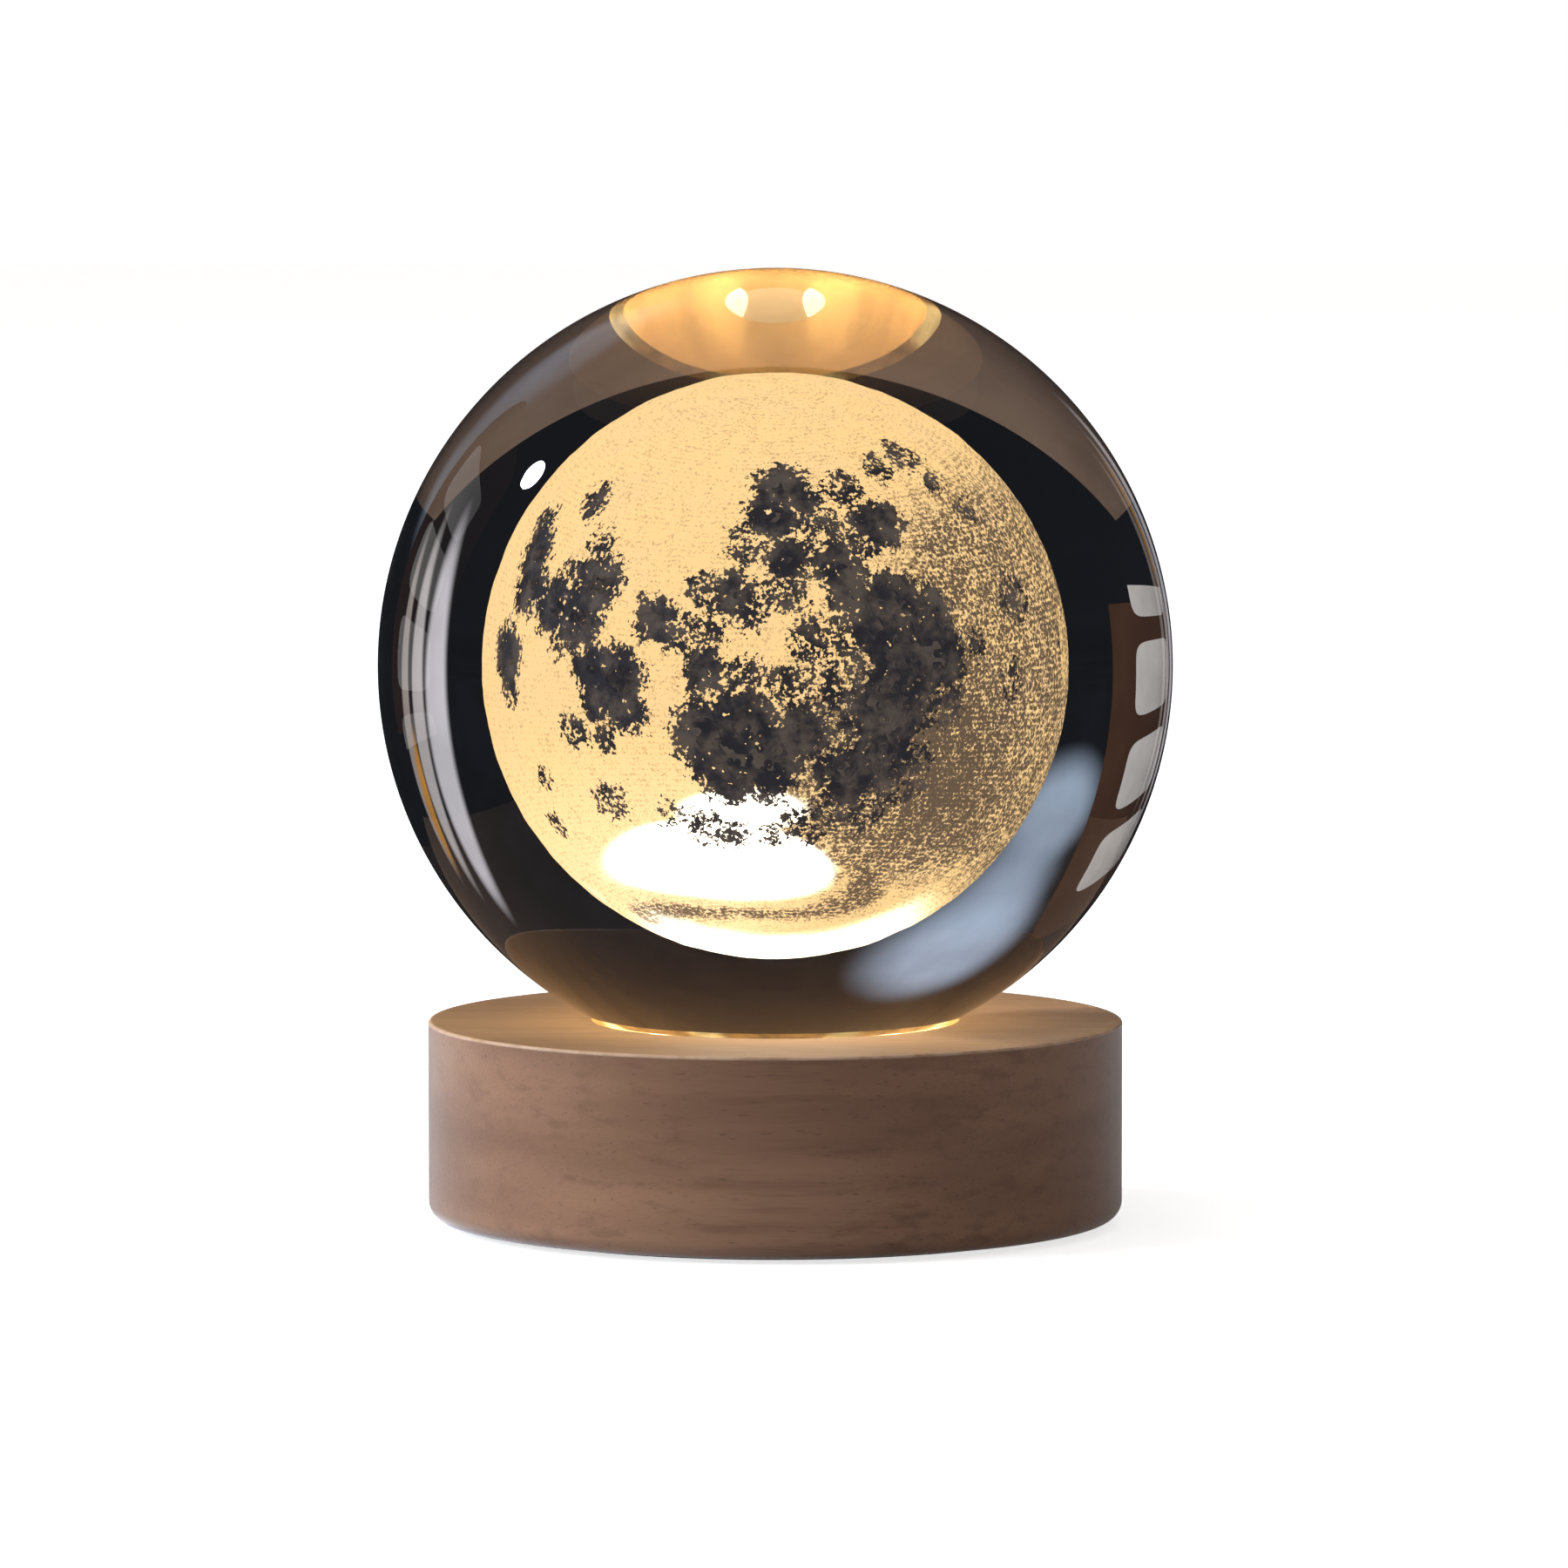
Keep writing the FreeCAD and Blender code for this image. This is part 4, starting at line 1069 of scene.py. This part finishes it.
def stage_piece(name, bm, finish):
    made = bpy.data.objects.new(name, plain_mesh(name, bm))
    made.data.materials.append(finish.material)
    scene.collection.objects.link(made)
    return made


def only_in_shine(made):
    """Studio card that only reflections and refraction show."""
    made.visible_camera = False
    made.visible_diffuse = False
    made.visible_shadow = False
    made.visible_volume_scatter = False
    return made


def level_square(half, lift=0.0):
    bm = bmesh.new()
    bmesh.ops.create_grid(bm, x_segments=1, y_segments=1, size=half)
    bmesh.ops.translate(bm, vec=(0, 0, lift), verts=bm.verts)
    return bm


def glow_card(name, colour, cloud_scale, soft_half=None, soft_from=None):
    """Plain emitter for a card, softly uneven, fading out toward its edge with soft_half."""
    finish = Finish(name)
    cloud = finish.noise(cloud_scale, detail=3)
    tone = finish.mix(finish.span(cloud, 0.3, 0.7), dulled(colour, 0.75), colour)
    emit = finish.tree.nodes.new("ShaderNodeEmission")
    finish.link(tone, emit.inputs["Color"])
    finish.link(emit.outputs[0], finish.output.inputs["Surface"])
    if soft_half:
        x, _, z = finish.parts(finish.stretched((1 / soft_half[0], 1, 1 / soft_half[1])))
        finish.clear_where(finish.span(finish.length(x, z), soft_from, 1.0), emit.outputs[0])
    return finish


def card(name, azimuth, elevation, width_degrees, height_degrees, colour, distance, soft_from=None):
    """A round-cornered card facing the lamp. Azimuth 0 is straight behind it, + is right."""
    bm = bmesh.new()
    half_w = distance * math.tan(math.radians(width_degrees / 2))
    half_h = distance * math.tan(math.radians(height_degrees / 2))
    ring = []
    for k in range(CARD_CORNERS):
        angle = 2 * math.pi * k / CARD_CORNERS
        c, s = math.cos(angle), math.sin(angle)
        x = half_w * math.copysign(abs(c) ** CARD_SQUARENESS, c)
        z = half_h * math.copysign(abs(s) ** CARD_SQUARENESS, s)
        ring.append(bm.verts.new((x, 0, z)))
    bm.faces.new(ring)
    soft_half = (half_w, half_h) if soft_from else None
    finish = glow_card(name, colour, 3.5 / distance, soft_half, soft_from)
    made = only_in_shine(stage_piece(name, bm, finish))
    az, el = math.radians(azimuth), math.radians(elevation)
    toward = Vector((math.sin(az) * math.cos(el), math.cos(az) * math.cos(el), math.sin(el)))
    made.location = toward * distance + CARD_AIM
    made.rotation_mode = "QUATERNION"
    turn = Matrix.Rotation(-az, 4, "Z") @ Matrix.Rotation(el, 4, "X")
    made.rotation_quaternion = turn.to_quaternion()


def tent():
    """Dark dome round the lamp, which gives the clear glass its dark look."""
    bm = bmesh.new()
    grid = []
    for row in range(TENT_ROWS + 1):
        el = math.radians(TENT_FOOT + TENT_RISE * row / TENT_ROWS)
        ring = []
        for column in range(TENT_COLUMNS):
            az = 2 * math.pi * column / TENT_COLUMNS
            x = TENT_RADIUS * math.sin(az) * math.cos(el)
            y = TENT_RADIUS * math.cos(az) * math.cos(el)
            ring.append(bm.verts.new((x, y, TENT_RADIUS * math.sin(el))))
        grid.append(ring)
    for lower, upper in zip(grid, grid[1:]):
        for column in range(TENT_COLUMNS):
            after = (column + 1) % TENT_COLUMNS
            bm.faces.new((lower[column], lower[after], upper[after], upper[column]))
    return bm


floor_finish = Finish("floor")
floor_finish.colour((0.82, 0.82, 0.82, 1))
floor_finish.set(Roughness=0.9, Specular_IOR_Level=0.1, Emission_Color=(1, 1, 1, 1))
whitening = floor_finish.times(seen_by_lens_and_shine(floor_finish.tree), FLOOR_WHITENING)
floor_finish.link(whitening, floor_finish.surface.inputs["Emission Strength"])
stage_piece("floor", level_square(FLOOR_HALF), floor_finish)

# The dark floor and dome, and the brown table top that the glass looks down on.
for name, bm, colour, cloud_scale in (
    ("dark_flag", level_square(FLAG_HALF, FLAG_LIFT), TENT_DARK, 3.0),
    ("dark_tent", tent(), TENT_DARK, 3.0),
    ("table_flag", level_square(TABLE_HALF, TABLE_LIFT), TABLE_BROWN, 24.0),
):
    only_in_shine(stage_piece(name, bm, glow_card(name, colour, cloud_scale)))

# Name, azimuth, elevation, width and height in degrees, colour, distance, soft from.
card("softbox_inner", 32, 3, 7, 46, (0.66, 0.63, 0.68), 0.13, 0.6)
card("softbox_middle", 38, 2, 5, 46, (0.54, 0.50, 0.50), 0.132, 0.6)
card("softbox_outer", 43.5, 2, 4, 46, (0.40, 0.35, 0.33), 0.134, 0.6)
card("amber_card", 41, 12, 3.5, 20, (0.60, 0.28, 0.06), 0.128, 0.5)
for row, pane_elevation in enumerate((-13, -1, 11, 23)):
    card(f"window_pane_{row + 1}", -58, pane_elevation, 22, 9, (0.62, 0.59, 0.57), 0.26)
card("window_frame", -58, 5, 36, 62, (0.065, 0.032, 0.020), 0.30)
card("cool_card_upper", -27, 33, 32, 26, (0.42, 0.51, 0.66), 2.0, 0.35)
card("cool_card_middle", -31, 24, 24, 22, (0.30, 0.37, 0.48), 2.05, 0.2)
card("cool_card_lower", -36, 14, 24, 18, (0.34, 0.42, 0.54), 2.1, 0.35)

# ---------------------------------------------------------------- light
AMBIENT = (0.355, 0.34, 0.33, 1)
WHITE = (1, 1, 1, 1)
LAMP_AIM = Vector((0, 0, 0.04))
LED_LIGHT_INSET = 1.0       # millimetres from the LEDs' ring toward the middle
LED_LIGHT_LIFT = 2.4        # millimetres over the LEDs

world = bpy.data.worlds.new("studio")
scene.world = world
world.use_nodes = True
tint = world.node_tree.nodes.new("ShaderNodeMix")
tint.data_type = "RGBA"
tint.inputs[6].default_value = AMBIENT
tint.inputs[7].default_value = WHITE
background = world.node_tree.nodes["Background"]
world.node_tree.links.new(seen_by_lens_and_shine(world.node_tree), tint.inputs[0])
world.node_tree.links.new(tint.outputs[2], background.inputs["Color"])


def lamp(name, kind, place, energy, size, colour, in_gloss=False):
    light = bpy.data.lights.new(name, kind)
    light.energy = energy
    light.color = colour
    if kind == "AREA":
        light.shape = "DISK"
        light.size = size
    else:
        light.shadow_soft_size = size
    made = bpy.data.objects.new(name, light)
    scene.collection.objects.link(made)
    made.location = place
    made.rotation_mode = "QUATERNION"
    made.rotation_quaternion = (LAMP_AIM - Vector(place)).to_track_quat("-Z", "Y")
    made.visible_glossy = in_gloss
    made.visible_transmission = False
    made.visible_camera = False


# Name, kind, place, watts, size in metres, colour.
lamp("key", "AREA", (-0.86, 0.21, 0.72), 10.0, 0.12, (0.98, 0.98, 1.0), in_gloss=True)
lamp("soft_left", "AREA", (-1.0, -0.24, 0.36), 14.0, 0.7, (0.74, 0.87, 1.0))
lamp("ball_glow", "POINT", (0, 0, 0.031), 0.009, 0.008, (1.0, 0.62, 0.10))
for number in range(LED_COUNT):
    angle = math.radians((number + 0.5) * 360 / LED_COUNT)
    reach = (LED_RING_RADIUS - LED_LIGHT_INSET) * MM
    height = (BOARD_TOP + LED_HEIGHT + LED_LIGHT_LIFT) * MM
    place = (reach * math.cos(angle), reach * math.sin(angle), height)
    lamp(f"led_light_{number + 1}", "POINT", place, 0.0006, 0.0008, (1.0, 0.74, 0.34))
